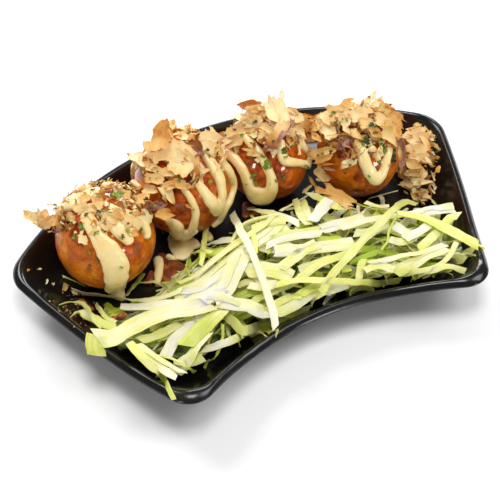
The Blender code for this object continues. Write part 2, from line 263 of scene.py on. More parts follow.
def add_softbox(name, azimuth, height, width, depth, power):
    """A rectangular area light that faces the plate, placed by its angles in degrees."""
    data = bpy.data.lights.new(name, "AREA")
    data.shape = "RECTANGLE"
    data.size = width
    data.size_y = depth
    data.energy = power
    light = bpy.data.objects.new(name, data)
    bpy.context.collection.objects.link(light)
    turn = math.radians(azimuth)
    rise = math.radians(height)
    way = Vector((math.cos(rise) * math.cos(turn), math.cos(rise) * math.sin(turn), math.sin(rise)))
    light.location = way * LIGHT_DISTANCE
    light.rotation_euler = (-way).to_track_quat("-Z", "Y").to_euler()


# Name, azimuth and height in degrees, width and depth in metres, power in watts
add_softbox("low_back_box", 60, 22, 0.85, 0.30, 9.0)
add_softbox("high_back_box", 108, 46, 0.50, 0.50, 7.0)
add_softbox("top_box", 250, 82, 0.42, 0.42, 6.6)
add_softbox("left_glint_box", 206, 22, 0.13, 0.30, 2.2)
add_softbox("right_glint_box", 288, 10, 0.22, 0.18, 2.2)
add_softbox("right_box", 335, 52, 0.60, 0.60, 6.0)
world = bpy.data.worlds.new("studio")
world.use_nodes = True
world.node_tree.nodes["Background"].inputs["Color"].default_value = (1, 1, 1, 1)
world.node_tree.nodes["Background"].inputs["Strength"].default_value = 0.20
bpy.context.scene.world = world
print(len(bpy.data.lights), "soft boxes stand", LIGHT_DISTANCE, "m away")


# %% [markdown]
# ## The plate
# The plate is pressed melamine: near black, glossy, with a rolled lip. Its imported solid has
# the right section but shows its facets. A copy of it is merged, its triangles are joined
# back into quads, and Subdivision Surface rounds the lip without moving it.

# %% Copy a solid as clean quads
MERGE_GAP = 0.01 * MM


def clean_copy(node_name):
    """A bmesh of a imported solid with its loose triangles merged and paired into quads."""
    build = bmesh.new()
    build.from_mesh(NODES[node_name].data)
    bmesh.ops.remove_doubles(build, verts=build.verts, dist=MERGE_GAP)
    bmesh.ops.join_triangles(build, faces=build.faces,
                             angle_face_threshold=math.radians(60),
                             angle_shape_threshold=math.radians(70))
    for layer in list(build.loops.layers.uv):
        build.loops.layers.uv.remove(layer)
    return build


def to_mesh(build, name):
    """A mesh made from a bmesh, which is freed."""
    mesh = bpy.data.meshes.new(name)
    build.to_mesh(mesh)
    build.free()
    return mesh


# %% Make a piece and work its modifiers in
def new_piece(name, mesh, material=None):
    """An object at the origin with smooth faces and one material."""
    item = bpy.data.objects.new(name, mesh)
    bpy.context.collection.objects.link(item)
    if material:
        mesh.materials.clear()
        mesh.materials.append(material)
    mesh.shade_smooth()
    return item


def baked(item):
    """The item with its modifiers worked into a plain mesh and removed."""
    bpy.context.view_layer.update()
    graph = bpy.context.evaluated_depsgraph_get()
    mesh = bpy.data.meshes.new_from_object(item.evaluated_get(graph), depsgraph=graph)
    material = item.data.materials[0] if item.data.materials else None
    item.modifiers.clear()
    item.data = mesh
    mesh.name = item.name
    if material and not mesh.materials:
        mesh.materials.append(material)
    return item


CRISP_ANGLE = math.radians(40)


def crisp(item):
    """The item with its edges drawn sharp where faces meet at more than an angle."""
    item.data.shade_smooth()
    item.data.set_sharp_from_angle(angle=CRISP_ANGLE)
    return item


def subdivided(item, levels):
    """The item after a Subdivision Surface."""
    smooth = item.modifiers.new("smooth", "SUBSURF")
    smooth.levels = levels
    smooth.render_levels = levels
    return baked(item)


def triangle_count(item):
    """How many triangles a mesh piece has."""
    return sum(len(polygon.vertices) - 2 for polygon in item.data.polygons)


# %% Round the plate
FLAT_TILT = 0.02
INSETS = (2 * MM, 4 * MM, 8 * MM)
WIDE_CORNERS = 20
plate_build = clean_copy("plate")
flat_faces = [face for face in plate_build.faces if face.normal.xy.length < FLAT_TILT]
bmesh.ops.dissolve_faces(plate_build, faces=flat_faces)
for inset in INSETS:
    wide = [face for face in plate_build.faces if len(face.verts) > WIDE_CORNERS]
    bmesh.ops.inset_region(plate_build, faces=wide, thickness=inset)

plate_material, tree, shader = start_material("black_melamine", Specular_IOR_Level=0.5)
smears = add_group(tree, BLOTCHES, Blotch_Size=0.02, Grain_Size=0.0006, Contrast=1.4)
black = color_ramp(tree, smears["Blotch"], [(0, (0.0035, 0.0032, 0.003)), (1, (0.007, 0.0065, 0.006))])
finish_surface(tree, shader, black, middle_remap(tree, smears["Blotch"], 0.14, 0.26),
               smears["Grain"], 0.02 * MM, 0.5)
plate = new_piece("plate_piece", to_mesh(plate_build, "plate_piece"), plate_material)
plate = subdivided(plate, levels=2)
print("plate:", triangle_count(plate), "triangles")


# %% [markdown]
# ## The batter balls
# A takoyaki ball is turned in a hot iron mould until its skin browns: golden on its sides,
# toasted in spots, wrinkled and shiny with oil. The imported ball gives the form. It is
# subdivided, and its skin is roughened by moving each point along its normal, because a
# bump alone would leave a smooth outline.

# %% Where each ball is
BALL_NAMES = [f"ball_{number}" for number in range(1, 5)]
BALL_BASE = 0.965


def ball_place(name):
    """Centre and radius of a ball, whose flat base lies BALL_BASE of a radius below its centre."""
    low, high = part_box(name)
    radius = ((high.x - low.x) + (high.y - low.y)) / 4
    return Vector(((low.x + high.x) / 2, (low.y + high.y) / 2, low.z + BALL_BASE * radius)), radius


def way_to(azimuth, polar):
    """Unit vector from an azimuth and an angle off the vertical, in degrees."""
    turn = math.radians(azimuth)
    lean = math.radians(polar)
    return Vector((math.sin(lean) * math.cos(turn), math.sin(lean) * math.sin(turn), math.cos(lean)))


BALLS = {name: ball_place(name) for name in BALL_NAMES}
for name, (centre, radius) in BALLS.items():
    print(name, "radius", round(radius / MM, 1), "mm")


# %% Crust relief and where the sauce lies
# Sauce is given as (azimuth, polar angle, half width) in degrees on each ball
SAUCE_PATCHES = {
    "ball_1": [(0, 0, 34), (-78, 62, 12), (-68, 78, 10), (-88, 75, 8), (150, 50, 22), (-150, 40, 14),
               (110, 62, 22), (50, 60, 18)],
    "ball_2": [(0, 0, 44), (-72, 48, 16), (-120, 60, 18), (-112, 80, 16), (-90, 70, 14),
               (-104, 100, 12), (160, 70, 18), (90, 66, 24), (30, 60, 16)],
    "ball_3": [(0, 0, 40), (-150, 50, 18), (-131, 66, 14), (-120, 48, 16), (-92, 56, 18), (-90, 76, 14),
               (-86, 92, 9), (95, 64, 24)],
    "ball_4": [(0, 0, 38), (-150, 38, 20), (-120, 45, 14), (-105, 72, 20), (-112, 88, 8),
               (-114, 104, 9), (110, 60, 24), (30, 56, 18)],
}
EDGE_WAVE, EDGE_NICK, EDGE_STEEPNESS = 4.5 * MM, 1.6 * MM, 3.0
FOLD_SIZE, CREASE_SIZE, PIMPLE_SIZE = 5.0 * MM, 2.3 * MM, 0.9 * MM
WRINKLE = 0.22 * MM
PIMPLE = 0.10 * MM
SAUCE_DEPTH = 0.35 * MM
SMOOTHED_BY_SAUCE = 0.93


def sauce_amount(name, way, point):
    """Share of sauce over the crust in a direction, with a ragged edge."""
    most = 0.0
    for azimuth, polar, width in SAUCE_PATCHES[name]:
        away = math.degrees(way.angle(way_to(azimuth, polar)))
        most = max(most, 1.25 - away / width)
    ragged = 0.30 * noise.noise(point / EDGE_WAVE) + 0.15 * noise.noise(point / EDGE_NICK)
    return min(1.0, max(0.0, EDGE_STEEPNESS * (most + ragged)))


def roughen_crust(item, name):
    """Move a ball's points along their normals and store its sauce."""
    centre = BALLS[name][0]
    mesh = item.data
    sauce = mesh.attributes.new("sauce", "FLOAT", "POINT")
    normals = [vertex.normal.copy() for vertex in mesh.vertices]
    for vertex, normal in zip(mesh.vertices, normals):
        point = vertex.co.copy()
        wet = sauce_amount(name, (point - centre).normalized(), point)
        folds = noise.noise(point / FOLD_SIZE) + 0.6 * noise.noise(point / CREASE_SIZE)
        pimples = noise.noise(point / PIMPLE_SIZE)
        dry = 1.0 - SMOOTHED_BY_SAUCE * wet
        vertex.co = point + normal * (dry * (WRINKLE * folds + PIMPLE * pimples) + SAUCE_DEPTH * wet)
        sauce.data[vertex.index].value = wet


print("sauce lies in", [len(patches) for patches in SAUCE_PATCHES.values()], "patches")

# %% Crust material
crust_material, tree, shader = start_material(
    "fried_crust", Specular_IOR_Level=0.25, Specular_Tint=(1.0, 0.72, 0.40, 1.0),
    Coat_Roughness=0.035, Subsurface_Weight=0.08, Subsurface_Radius=(1.0, 0.4, 0.15),
    Subsurface_Scale=0.0012)
skin = add_group(tree, BLOTCHES, Blotch_Size=0.011, Grain_Size=0.0016, Contrast=2.2)
spots = add_group(tree, BLOTCHES, Blotch_Size=0.0045, Grain_Size=0.0007, Contrast=2.6)
golden = color_ramp(tree, skin["Blotch"], [
    (0.0, (0.25, 0.038, 0.002)), (0.35, (0.50, 0.105, 0.003)),
    (0.65, (0.71, 0.190, 0.006)), (1.0, (0.91, 0.36, 0.030))])
toast = remap(tree, spots["Blotch"], 0.55, 1.0, 0.0, 0.65)
freckles = remap(tree, skin["Grain"], 0.6, 1.0, 0.0, 0.45)
toasted = mix_colors(tree, toast, golden, (0.26, 0.05, 0.004))
freckled = mix_colors(tree, freckles, toasted, (0.20, 0.036, 0.004))
sauce_color = color_ramp(tree, spots["Blotch"], [
    (0.0, (0.11, 0.012, 0.002)), (0.5, (0.38, 0.048, 0.003)), (1.0, (0.84, 0.17, 0.007))])
wet = named_value(tree, "sauce")
wetness = remap(tree, wet, 0.2, 0.9, 0.0, 1.0)
roughness = math_node(tree, "SUBTRACT", middle_remap(tree, spots["Grain"], 0.30, 0.52),
                      math_node(tree, "MULTIPLY", wetness, 0.24))
bubbles = add_group(tree, CRUMPLE, Wrinkle_Size=0.0022, Pit_Size=0.0013, Pit_Share=0.6)
dry_share = math_node(tree, "SUBTRACT", 1.0, math_node(tree, "MULTIPLY", wetness, 0.88))
relief = math_node(tree, "MULTIPLY", bubbles["Height"], dry_share)
finish_surface(tree, shader, mix_colors(tree, wet, freckled, sauce_color), roughness, relief,
               0.35 * MM, 0.8)
tree.links.new(remap(tree, wet, 0.2, 0.9, 0.12, 1.0), shader.inputs["Coat Weight"])
print("crust material:", len(tree.nodes), "nodes")

# %% Make the four crusts
crusts = {}
for name in BALL_NAMES:
    mesh = to_mesh(clean_copy(name), name + "_crust")
    crusts[name] = subdivided(new_piece(name + "_crust", mesh, crust_material), levels=3)
    roughen_crust(crusts[name], name)
    print(name, "crust:", triangle_count(crusts[name]), "triangles")


# %% Find points on a crust
def tree_of(item):
    """A search tree over an item's mesh, to drop things onto it."""
    mesh = item.data
    return BVHTree.FromPolygons([v.co for v in mesh.vertices], [p.vertices for p in mesh.polygons])


crust_trees = {name: tree_of(item) for name, item in crusts.items()}


def crust_hit(name, way):
    """The point of a ball's crust that lies in a direction from its centre."""
    centre, radius = BALLS[name]
    return crust_trees[name].ray_cast(centre + way * 2 * radius, -way)[0]


# %% Heights of the dish and of the cabbage
bed_tree = tree_of(NODES["cabbage"])
dish_tree = tree_of(NODES["plate"])
SKY = 0.2


def drop_on(search, x, y):
    """Height of the first surface under a point of the sky, or None."""
    hit = search.ray_cast(Vector((x, y, SKY)), Vector((0, 0, -1)))[0]
    return hit.z if hit else None


# %% [markdown]
# ## Mayonnaise
# Mayonnaise is squeezed from a bottle with a fine mouth. It lies as thick bands that widen
# where they run down, and it pools at the foot. Each band is swept along directions on its
# ball as a chain of flattened beads, and a voxel remesh melts beads and pools into one skin,
# as the real drops flow together.

# %% Smooth paths
STEPS_PER_SPAN = 16


def smooth_path(points, step):
    """Even points along a Catmull-Rom curve through rows of numbers, spaced by step."""
    rows = np.array(points, float)
    ends = np.vstack([2 * rows[0] - rows[1], rows, 2 * rows[-1] - rows[-2]])
    fine = []
    for index in range(1, len(ends) - 2):
        a, b, c, d = ends[index - 1:index + 3]
        for t in np.linspace(0, 1, STEPS_PER_SPAN, endpoint=False):
            fine.append(0.5 * (2 * b + (c - a) * t + (2 * a - 5 * b + 4 * c - d) * t ** 2
                               + (3 * b - a - 3 * c + d) * t ** 3))
    fine = np.array(fine + [ends[-2]])
    along = np.concatenate([[0], np.cumsum(np.linalg.norm(np.diff(fine[:, :3], axis=0), axis=1))])
    count = max(2, int(round(along[-1] / step)) + 1)
    wanted = np.linspace(0, along[-1], count)
    return np.stack([np.interp(wanted, along, fine[:, k]) for k in range(rows.shape[1])], axis=1)


# %% One bead
BEAD_RINGS = 5
BEAD_SIDES = 10
BEAD_SQUARENESS = 0.85


def squared(value):
    """A sine or cosine pushed towards 1, which flattens a bead's top and steepens its edge."""
    return math.copysign(abs(value) ** BEAD_SQUARENESS, value)


def bead(vertices, faces, centre, side, front, up):
    """Add one flat-topped bead with its three half-axes to lists of vertices and faces."""
    start = len(vertices)
    vertices.append(centre + up)
    for ring in range(1, BEAD_RINGS):
        lean = math.pi * ring / BEAD_RINGS
        for step in range(BEAD_SIDES):
            turn = 2 * math.pi * step / BEAD_SIDES
            out = side * math.cos(turn) + front * math.sin(turn)
            vertices.append(centre + up * squared(math.cos(lean)) + out * squared(math.sin(lean)))
    vertices.append(centre - up)
    last = len(vertices) - 1
    for step in range(BEAD_SIDES):
        after = (step + 1) % BEAD_SIDES
        faces.append((start, start + 1 + step, start + 1 + after))
        for ring in range(BEAD_RINGS - 2):
            low = start + 1 + ring * BEAD_SIDES
            faces.append((low + step, low + BEAD_SIDES + step, low + BEAD_SIDES + after, low + after))
        low = last - BEAD_SIDES
        faces.append((low + step, last, low + after))


# %% Melt beads together
def melted(name, vertices, faces, material, voxel, rounds):
    """One skin round many beads, smoothed for some rounds."""
    mesh = bpy.data.meshes.new(name)
    mesh.from_pydata([tuple(v) for v in vertices], [], faces)
    item = new_piece(name, mesh, material)
    skin = item.modifiers.new("skin", "REMESH")
    skin.mode = "VOXEL"
    skin.voxel_size = voxel
    skin.use_smooth_shade = True
    relax = item.modifiers.new("relax", "SMOOTH")
    relax.factor = 0.5
    relax.iterations = rounds
    return baked(item)


# %% Bands on the balls
# A band is a row of (azimuth, polar angle, half width in mm, height in mm)
MAYO_BANDS = [
    ("ball_1", [(120, 41, 2, 1.2), (164, 20, 2, 1.4), (-136, 24, 2, 1.5), (-121, 33, 1.9, 1.5)]),
    ("ball_1", [(-158, 23, 2.4, 1.4), (-130, 34, 2.6, 1.4), (-115, 45, 3.4, 1.4), (-105, 58, 4.9, 1.5),
                (-100, 73, 5.5, 1.6), (-101, 86, 5.3, 1.7), (-102, 101, 4.9, 1.7),
                (-104, 123, 4.4, 1.5)]),
    ("ball_1", [(-93, 24, 3, 1.6), (-81, 36, 3.4, 1.7), (-77, 46, 3.2, 1.8), (-76, 53, 2.4, 1.6)]),
    ("ball_1", [(-35, 39, 2.4, 1.6), (-40, 52, 2.4, 1.7), (-45, 63, 1.9, 1.7), (-49, 65, 1.5, 1.5)]),
    ("ball_1", [(-129, 7, 3.4, 1.6), (-74, 19, 3.6, 1.8), (-55, 31, 3.4, 1.8), (-47, 42, 3, 1.7)]),
    ("ball_1", [(140, 34, 3, 1.6), (121, 21, 3.4, 1.8), (83, 15, 3, 1.8)]),
    ("ball_2", [(-111, 49, 1.5, 1.2), (-104, 60, 1.6, 1.3), (-100, 75, 1.7, 1.3), (-102, 90, 1.8, 1.3),
                (-107, 111, 1.8, 1.3)]),
    ("ball_2", [(-131, 90, 1.8, 1.2), (-123, 97, 3.2, 1.4), (-121, 132, 3.6, 1.5),
                (-123, 131, 3.4, 1.6)]),
    ("ball_2", [(-31, 26, 2.4, 1.6), (-50, 40, 2.8, 1.7), (-55, 56, 2.6, 1.6), (-60, 71, 2.4, 1.5),
                (-65, 86, 2.4, 1.5)]),
    ("ball_2", [(-29, 51, 2, 1.5), (-29, 68, 2.4, 1.6), (-26, 90, 2.2, 1.6), (-37, 100, 2.2, 1.6),
                (-53, 103, 2.4, 1.6), (-61, 118, 2, 1.5), (-71, 123, 1.3, 1.2)]),
    ("ball_2", [(-90, 45, 1.6, 1.3), (-85, 57, 2.2, 1.4), (-79, 73, 2.8, 1.5), (-70, 92, 3.2, 1.6)]),
    ("ball_2", [(156, 85, 1, 1), (167, 72, 1.3, 1.1), (-179, 67, 1.2, 1)]),
    ("ball_3", [(146, 82, 2.2, 1.5), (176, 63, 2.4, 1.5), (-162, 62, 2.4, 1.5), (-148, 72, 2.5, 1.5),
                (-141, 88, 2.9, 1.6), (-135, 112, 3.3, 1.7), (-129, 133, 3.2, 1.7)]),
    ("ball_3", [(-129, 133, 3.2, 1.7), (-115, 107, 3.3, 1.7), (-110, 86, 2.7, 1.6),
                (-111, 69, 2.2, 1.5), (-117, 55, 2, 1.4), (-124, 45, 1.8, 1.4)]),
    ("ball_3", [(165, 29, 2.2, 1.5), (-161, 30, 2.2, 1.5), (-137, 36, 2, 1.4), (-126, 43, 1.8, 1.3)]),
    ("ball_3", [(-129, 104, 3.4, 1.6), (-122, 107, 3.4, 1.6)]),
    ("ball_3", [(-76, 29, 1.9, 1.5), (-87, 40, 2.1, 1.6), (-86, 51, 2.3, 1.7), (-75, 58, 2, 1.7),
                (-60, 68, 1.8, 1.6), (-42, 87, 1.7, 1.4)]),
    ("ball_3", [(-42, 87, 1.7, 1.4), (-28, 82, 1.6, 1.5), (-34, 58, 1.6, 1.5), (-18, 48, 1.5, 1.5),
                (9, 56, 1.4, 1.4)]),
    ("ball_3", [(-179, 113, 1, 1), (178, 111, 1.2, 1)]),
    ("ball_4", [(-159, 20, 2, 1.5), (-128, 30, 2.4, 1.6), (-117, 44, 2.5, 1.7), (-111, 59, 2.7, 1.8),
                (-103, 74, 2.9, 1.9), (-97, 82, 2.6, 1.9)]),
    ("ball_4", [(-97, 82, 2.6, 1.9), (-90, 77, 2.4, 1.8), (-83, 68, 2, 1.7), (-75, 58, 1.8, 1.6),
                (-64, 51, 1.5, 1.5)]),
    ("ball_4", [(-98, 38, 1.6, 1.4), (-92, 47, 1.4, 1.3), (-90, 57, 1.2, 1.2)]),
    ("ball_2", [(-104, 108, 2.4, 1.3), (-112, 118, 3.4, 1.5), (-118, 130, 3.6, 1.6)]),
    ("ball_3", [(-134, 98, 4, 1.6), (-126, 100, 4.6, 1.6), (-118, 98, 4, 1.6)]),
    ("ball_1", [(150, 30, 2.2, 1.5), (140, 52, 2.4, 1.5), (126, 74, 2.8, 1.6), (110, 80, 2.6, 1.6),
                (100, 62, 2.2, 1.5), (92, 38, 2.2, 1.5)]),
    ("ball_1", [(60, 34, 2, 1.5), (52, 56, 2.2, 1.5), (46, 76, 1.8, 1.4)]),
    ("ball_2", [(112, 28, 2.2, 1.5), (104, 50, 2.2, 1.5), (94, 76, 2.6, 1.6), (78, 84, 2.6, 1.6),
                (66, 64, 2.2, 1.5), (60, 40, 2, 1.5)]),
    ("ball_2", [(150, 42, 2, 1.5), (142, 64, 2.2, 1.5), (138, 92, 2, 1.4)]),
    ("ball_3", [(124, 30, 2, 1.5), (114, 54, 2.2, 1.5), (100, 80, 2.6, 1.6), (84, 86, 2.6, 1.6),
                (72, 66, 2.2, 1.5), (64, 36, 2, 1.5)]),
    ("ball_4", [(142, 34, 2, 1.5), (128, 60, 2.2, 1.5), (112, 78, 2.6, 1.6), (96, 72, 2.4, 1.6),
                (84, 50, 2, 1.5), (76, 30, 2, 1.5)]),
    ("ball_4", [(34, 36, 1.8, 1.5), (26, 58, 2, 1.5), (18, 74, 1.6, 1.4)]),
]
# A trail on the plate is a row of (x, y, half width, height) in mm
MAYO_TRAILS = [
    [(-31.7, 24, 4.3, 1.6), (-31.2, 18.6, 6.4, 1.5), (-32.6, 15, 4.6, 1.4), (-34.5, 13.4, 2.1, 1.1)],
    [(-31, 19.5, 4.5, 1.5), (-26.8, 18.5, 3.7, 1.4), (-24.8, 15.8, 1.8, 1.1)],
    [(-18.1, 20.6, 1.8, 1.6), (-18.2, 17.5, 2.2, 1.6)],
    [(-44.3, 15.4, 2.5, 2.2), (-46, 10.9, 2.3, 2.2), (-48.3, 6.8, 2, 2), (-50.1, 3.5, 1.6, 1.6)],
    [(-39.3, 15.2, 1.5, 2), (-38.1, 13.4, 1.7, 2)],
    [(-67.5, 12, 4.2, 1.8), (-67.7, 7.3, 3.8, 1.6), (-67.1, 4, 2.2, 1.3)],
]
print(len(MAYO_BANDS), "bands and", len(MAYO_TRAILS), "trails of mayonnaise")

# %% Beads along the bands
BEAD_STEP = 0.8 * MM
BEAD_LENGTH = 0.8
BAND_SINK = 0.3
BAND_THICKNESS = 1.3
WOBBLE_SIZE = 3 * MM


def band_beads(bands, vertices, faces):
    """Chains of flattened beads along bands on the balls."""
    for name, rows in bands:
        centre = BALLS[name][0]
        places = []
        for azimuth, polar, half_width, height in rows:
            point = crust_hit(name, way_to(azimuth, polar))
            places.append((*point, half_width * MM, height * BAND_THICKNESS * MM))
        path = smooth_path(places, BEAD_STEP)
        for index, (x, y, z, half_width, height) in enumerate(path):
            way = (Vector((x, y, z)) - centre).normalized()
            hit = crust_hit(name, way)
            before = Vector(path[max(index - 1, 0)][:3])
            after = Vector(path[min(index + 1, len(path) - 1)][:3])
            front = (after - before).normalized()
            side = way.cross(front).normalized()
            wobble = 1.1 + 0.14 * noise.noise(hit / WOBBLE_SIZE)
            bead(vertices, faces, hit + way * height * BAND_SINK,
                 side * half_width * wobble, front * half_width * BEAD_LENGTH, way * height)


def trail_beads(trails, vertices, faces):
    """Chains of flattened beads along trails on the plate."""
    for rows in trails:
        path = smooth_path([(x * MM, y * MM, 0, w * MM, h * MM) for x, y, w, h in rows], BEAD_STEP)
        for x, y, z, half_width, height in path:
            ground = drop_on(dish_tree, x, y)
            wobble = 1 + 0.16 * noise.noise(Vector((x, y, 0)) / WOBBLE_SIZE)
            bead(vertices, faces, Vector((x, y, ground + height * BAND_SINK)),
                 Vector((half_width * wobble, 0, 0)), Vector((0, half_width * wobble, 0)),
                 Vector((0, 0, height)))


mayo_vertices = []
mayo_faces = []
band_beads(MAYO_BANDS, mayo_vertices, mayo_faces)
trail_beads(MAYO_TRAILS, mayo_vertices, mayo_faces)
print("the beads have", len(mayo_vertices), "points")

# %% Mayonnaise material
mayo_material, tree, shader = start_material(
    "mayonnaise", Specular_IOR_Level=0.35, Coat_Weight=0.4, Coat_Roughness=0.10,
    Subsurface_Weight=0.3, Subsurface_Radius=(1.0, 0.7, 0.35), Subsurface_Scale=0.0025)
cream = add_group(tree, BLOTCHES, Blotch_Size=0.009, Grain_Size=0.0012, Contrast=1.8)
creamy = color_ramp(tree, cream["Blotch"], [
    (0.0, (0.88, 0.62, 0.24)), (0.45, (0.93, 0.72, 0.33)), (1.0, (0.95, 0.79, 0.44))])
stain = remap(tree, cream["Grain"], 0.72, 1.0, 0.0, 0.4)
finish_surface(tree, shader, mix_colors(tree, stain, creamy, (0.72, 0.36, 0.09)),
               middle_remap(tree, cream["Grain"], 0.16, 0.30), cream["Grain"], 0.12 * MM, 0.5)
mayo = melted("mayonnaise", mayo_vertices, mayo_faces, mayo_material, voxel=0.45 * MM, rounds=5)
print("mayonnaise:", triangle_count(mayo), "triangles")

# %% [markdown]
# ## Sauce on the plate
# The brown sauce is thinner than the mayonnaise: it lies in low shining puddles with drawn
# out edges. The same beads make it, only flatter.

# %% Sauce puddles
SAUCE_TRAILS = [
    [(-39.7, 11, 2.6, 1.5), (-38.5, 6.5, 4, 2), (-40.1, 3.1, 3.6, 1.8), (-43, 1.6, 2.1, 1.2)],
    [(-41.6, 17.3, 2.2, 1), (-42.5, 13, 2.4, 1.1), (-43.6, 8, 2.6, 1.1), (-46, 3, 2, 0.9)],
    [(-49.9, 10.3, 1.5, 1.2), (-51.9, 7.6, 1.9, 1.3), (-54.2, 6.6, 1.5, 1.1)],
    [(6.5, 28, 2.2, 1.3), (5.3, 24, 3.2, 1.5), (3.4, 22.6, 2.1, 1.2)],
    [(6.4, 22.8, 1.8, 1.4), (9, 20.6, 1.2, 1.2)],
    [(54.3, 8, 1.5, 1.4), (52.8, 4.5, 1.9, 1.6), (52.3, 1.2, 1.2, 1.2)],
    [(40, 14, 2.4, 0.9), (44, 11, 1.6, 0.8)],
    [(-84, 9, 2.6, 0.6), (-82, 4, 2, 0.5)],
    [(-72, -3, 2.2, 0.6), (-68, -5, 1.4, 0.5)],
]
# Drops are (x, y, z, half size along x, along y, height) in mm
SAUCE_DROPS = [(-75, -18, 21.5, 2.3, 1.9, 1.5), (-78, -17, 21.0, 1.3, 1.4, 1.1)]
sauce_vertices = []
sauce_faces = []
trail_beads(SAUCE_TRAILS, sauce_vertices, sauce_faces)
for x, y, z, half_x, half_y, height in SAUCE_DROPS:
    bead(sauce_vertices, sauce_faces, Vector((x, y, z)) * MM, Vector((half_x, 0, 0)) * MM,
         Vector((0, half_y, 0)) * MM, Vector((0, 0, height)) * MM)
print(len(SAUCE_TRAILS), "trails and", len(SAUCE_DROPS), "drops of sauce")

# %% Brown sauce material
sauce_material, tree, shader = start_material(
    "brown_sauce", Specular_IOR_Level=0.15, Coat_Weight=0.6, Coat_Roughness=0.03,
    Subsurface_Weight=0.1, Subsurface_Radius=(1.0, 0.25, 0.08), Subsurface_Scale=0.001)
pulp = add_group(tree, BLOTCHES, Blotch_Size=0.005, Grain_Size=0.001, Contrast=2.0)
brown = color_ramp(tree, pulp["Blotch"], [
    (0.0, (0.040, 0.006, 0.001)), (0.5, (0.20, 0.036, 0.003)), (1.0, (0.72, 0.21, 0.012))])
finish_surface(tree, shader, brown, remap(tree, pulp["Grain"], 0.0, 1.0, 0.12, 0.25),
               pulp["Grain"], 0.3 * MM, 0.8)
sauce = melted("sauce_pools", sauce_vertices, sauce_faces, sauce_material, voxel=0.35 * MM, rounds=4)
print("sauce:", triangle_count(sauce), "triangles")

# %% [markdown]
# ## Shaved bonito
# Bonito shavings are cut thinner than paper from a dried fillet, so they curl, tear at their
# ends and let light through. Families of them are modelled, from broad sheets to needles and
# crumbs, each a bent sheet with a real thickness. A Geometry Nodes tree lays copies of them
# on points, where each point carries the kind, turn and size of its shaving. The broad ones
# that shape each heap are laid one by one from end to end, and seeded loops fill below them.
# A texture on the heap would leave a smooth outline.

# %% A thin sheet
# Sheets are made 1 long, so their thickness is set for a shaving of typical length
TYPICAL_SHAVING = 7 * MM
SHEET_HALF = 0.075 * MM / TYPICAL_SHAVING
FULL_TURN = 6.28


def store_values(mesh, name, kind, values):
    """Store one value for each point of a mesh."""
    field = "vector" if kind == "FLOAT_VECTOR" else "value"
    number = np.int32 if kind == "INT" else np.float32
    mesh.attributes.new(name, kind, "POINT").data.foreach_set(field, np.array(values, number).ravel())


def sheet_mesh(name, grid, marks):
    """A thin closed sheet round a grid of points, with named values stored on it."""
    rows, columns = grid.shape[:2]
    along = np.gradient(grid, axis=0)
    across = np.gradient(grid, axis=1)
    normal = np.cross(along, across)
    normal /= np.maximum(np.linalg.norm(normal, axis=2, keepdims=True), 1e-12)
    points = np.concatenate([(grid + normal * SHEET_HALF).reshape(-1, 3),
                             (grid - normal * SHEET_HALF).reshape(-1, 3)])
    half = rows * columns
    faces = []
    for i in range(rows - 1):
        for j in range(columns - 1):
            a = i * columns + j
            b, c, d = a + columns, a + columns + 1, a + 1
            faces += [(a, b, c, d), (half + a, half + d, half + c, half + b)]
    border = list(range(columns)) + [i * columns + columns - 1 for i in range(1, rows)]
    border += [(rows - 1) * columns + j for j in range(columns - 2, -1, -1)]
    border += [i * columns for i in range(rows - 2, 0, -1)]
    for here, after in zip(border, border[1:] + border[:1]):
        faces.append((here, after, half + after, half + here))
    mesh = bpy.data.meshes.new(name)
    mesh.from_pydata([tuple(p) for p in points], [], faces)
    for attribute, values in marks.items():
        store_values(mesh, attribute, "FLOAT", np.tile(values.ravel(), 2))
    mesh.shade_smooth()
    return mesh


# %% Bend a sheet into a shaving
MOST_SKEW = 0.12
RAGGED_SIDE = 0.16


def shaving(name, random, cells, outline, curl, cup, ruffle, twist, teeth, crumple):
    """A shaving 1 long and 1 wide; outline is its share of that width at even steps."""
    rows, columns = cells[0] + 1, cells[1] + 1
    grid = np.zeros((rows, columns, 3))
    along = np.zeros((rows, columns))
    across = np.zeros((rows, columns))
    phase = random.uniform(0, FULL_TURN)
    skew = random.uniform(-MOST_SKEW, MOST_SKEW)
    for i in range(rows):
        t = i / (rows - 1)
        share = np.interp(t, np.linspace(0, 1, len(outline)), outline)
        for j in range(columns):
            s = 2 * j / (columns - 1) - 1
            x = t - 0.5 + skew * s * abs(2 * t - 1)
            if i in (0, rows - 1):
                x += (1 if i == 0 else -1) * teeth * random.uniform(0, 1) * (0.4 + (j % 2))
            y = s * 0.5 * share * (1 + (RAGGED_SIDE * random.uniform(-1, 1) if abs(s) == 1 else 0))
            z = cup * s * s * 0.25 + ruffle * math.sin(9 * t + phase + 1.5 * s) * (0.4 + abs(s))
            z += crumple * random.uniform(-1, 1)
            roll = twist * x
            y, z = y * math.cos(roll) - z * math.sin(roll), y * math.sin(roll) + z * math.cos(roll)
            bend = curl * x
            if abs(curl) > 0.01:
                reach = 1 / curl
                x, z = (reach - z) * math.sin(bend), reach - (reach - z) * math.cos(bend)
            grid[i, j] = (x, y, z)
            along[i, j] = t
            across[i, j] = s
    edge = np.maximum(np.abs(across), np.abs(2 * along - 1)) ** 3
    return sheet_mesh(name, grid, {"edge": edge, "lengthwise": along, "crosswise": across})


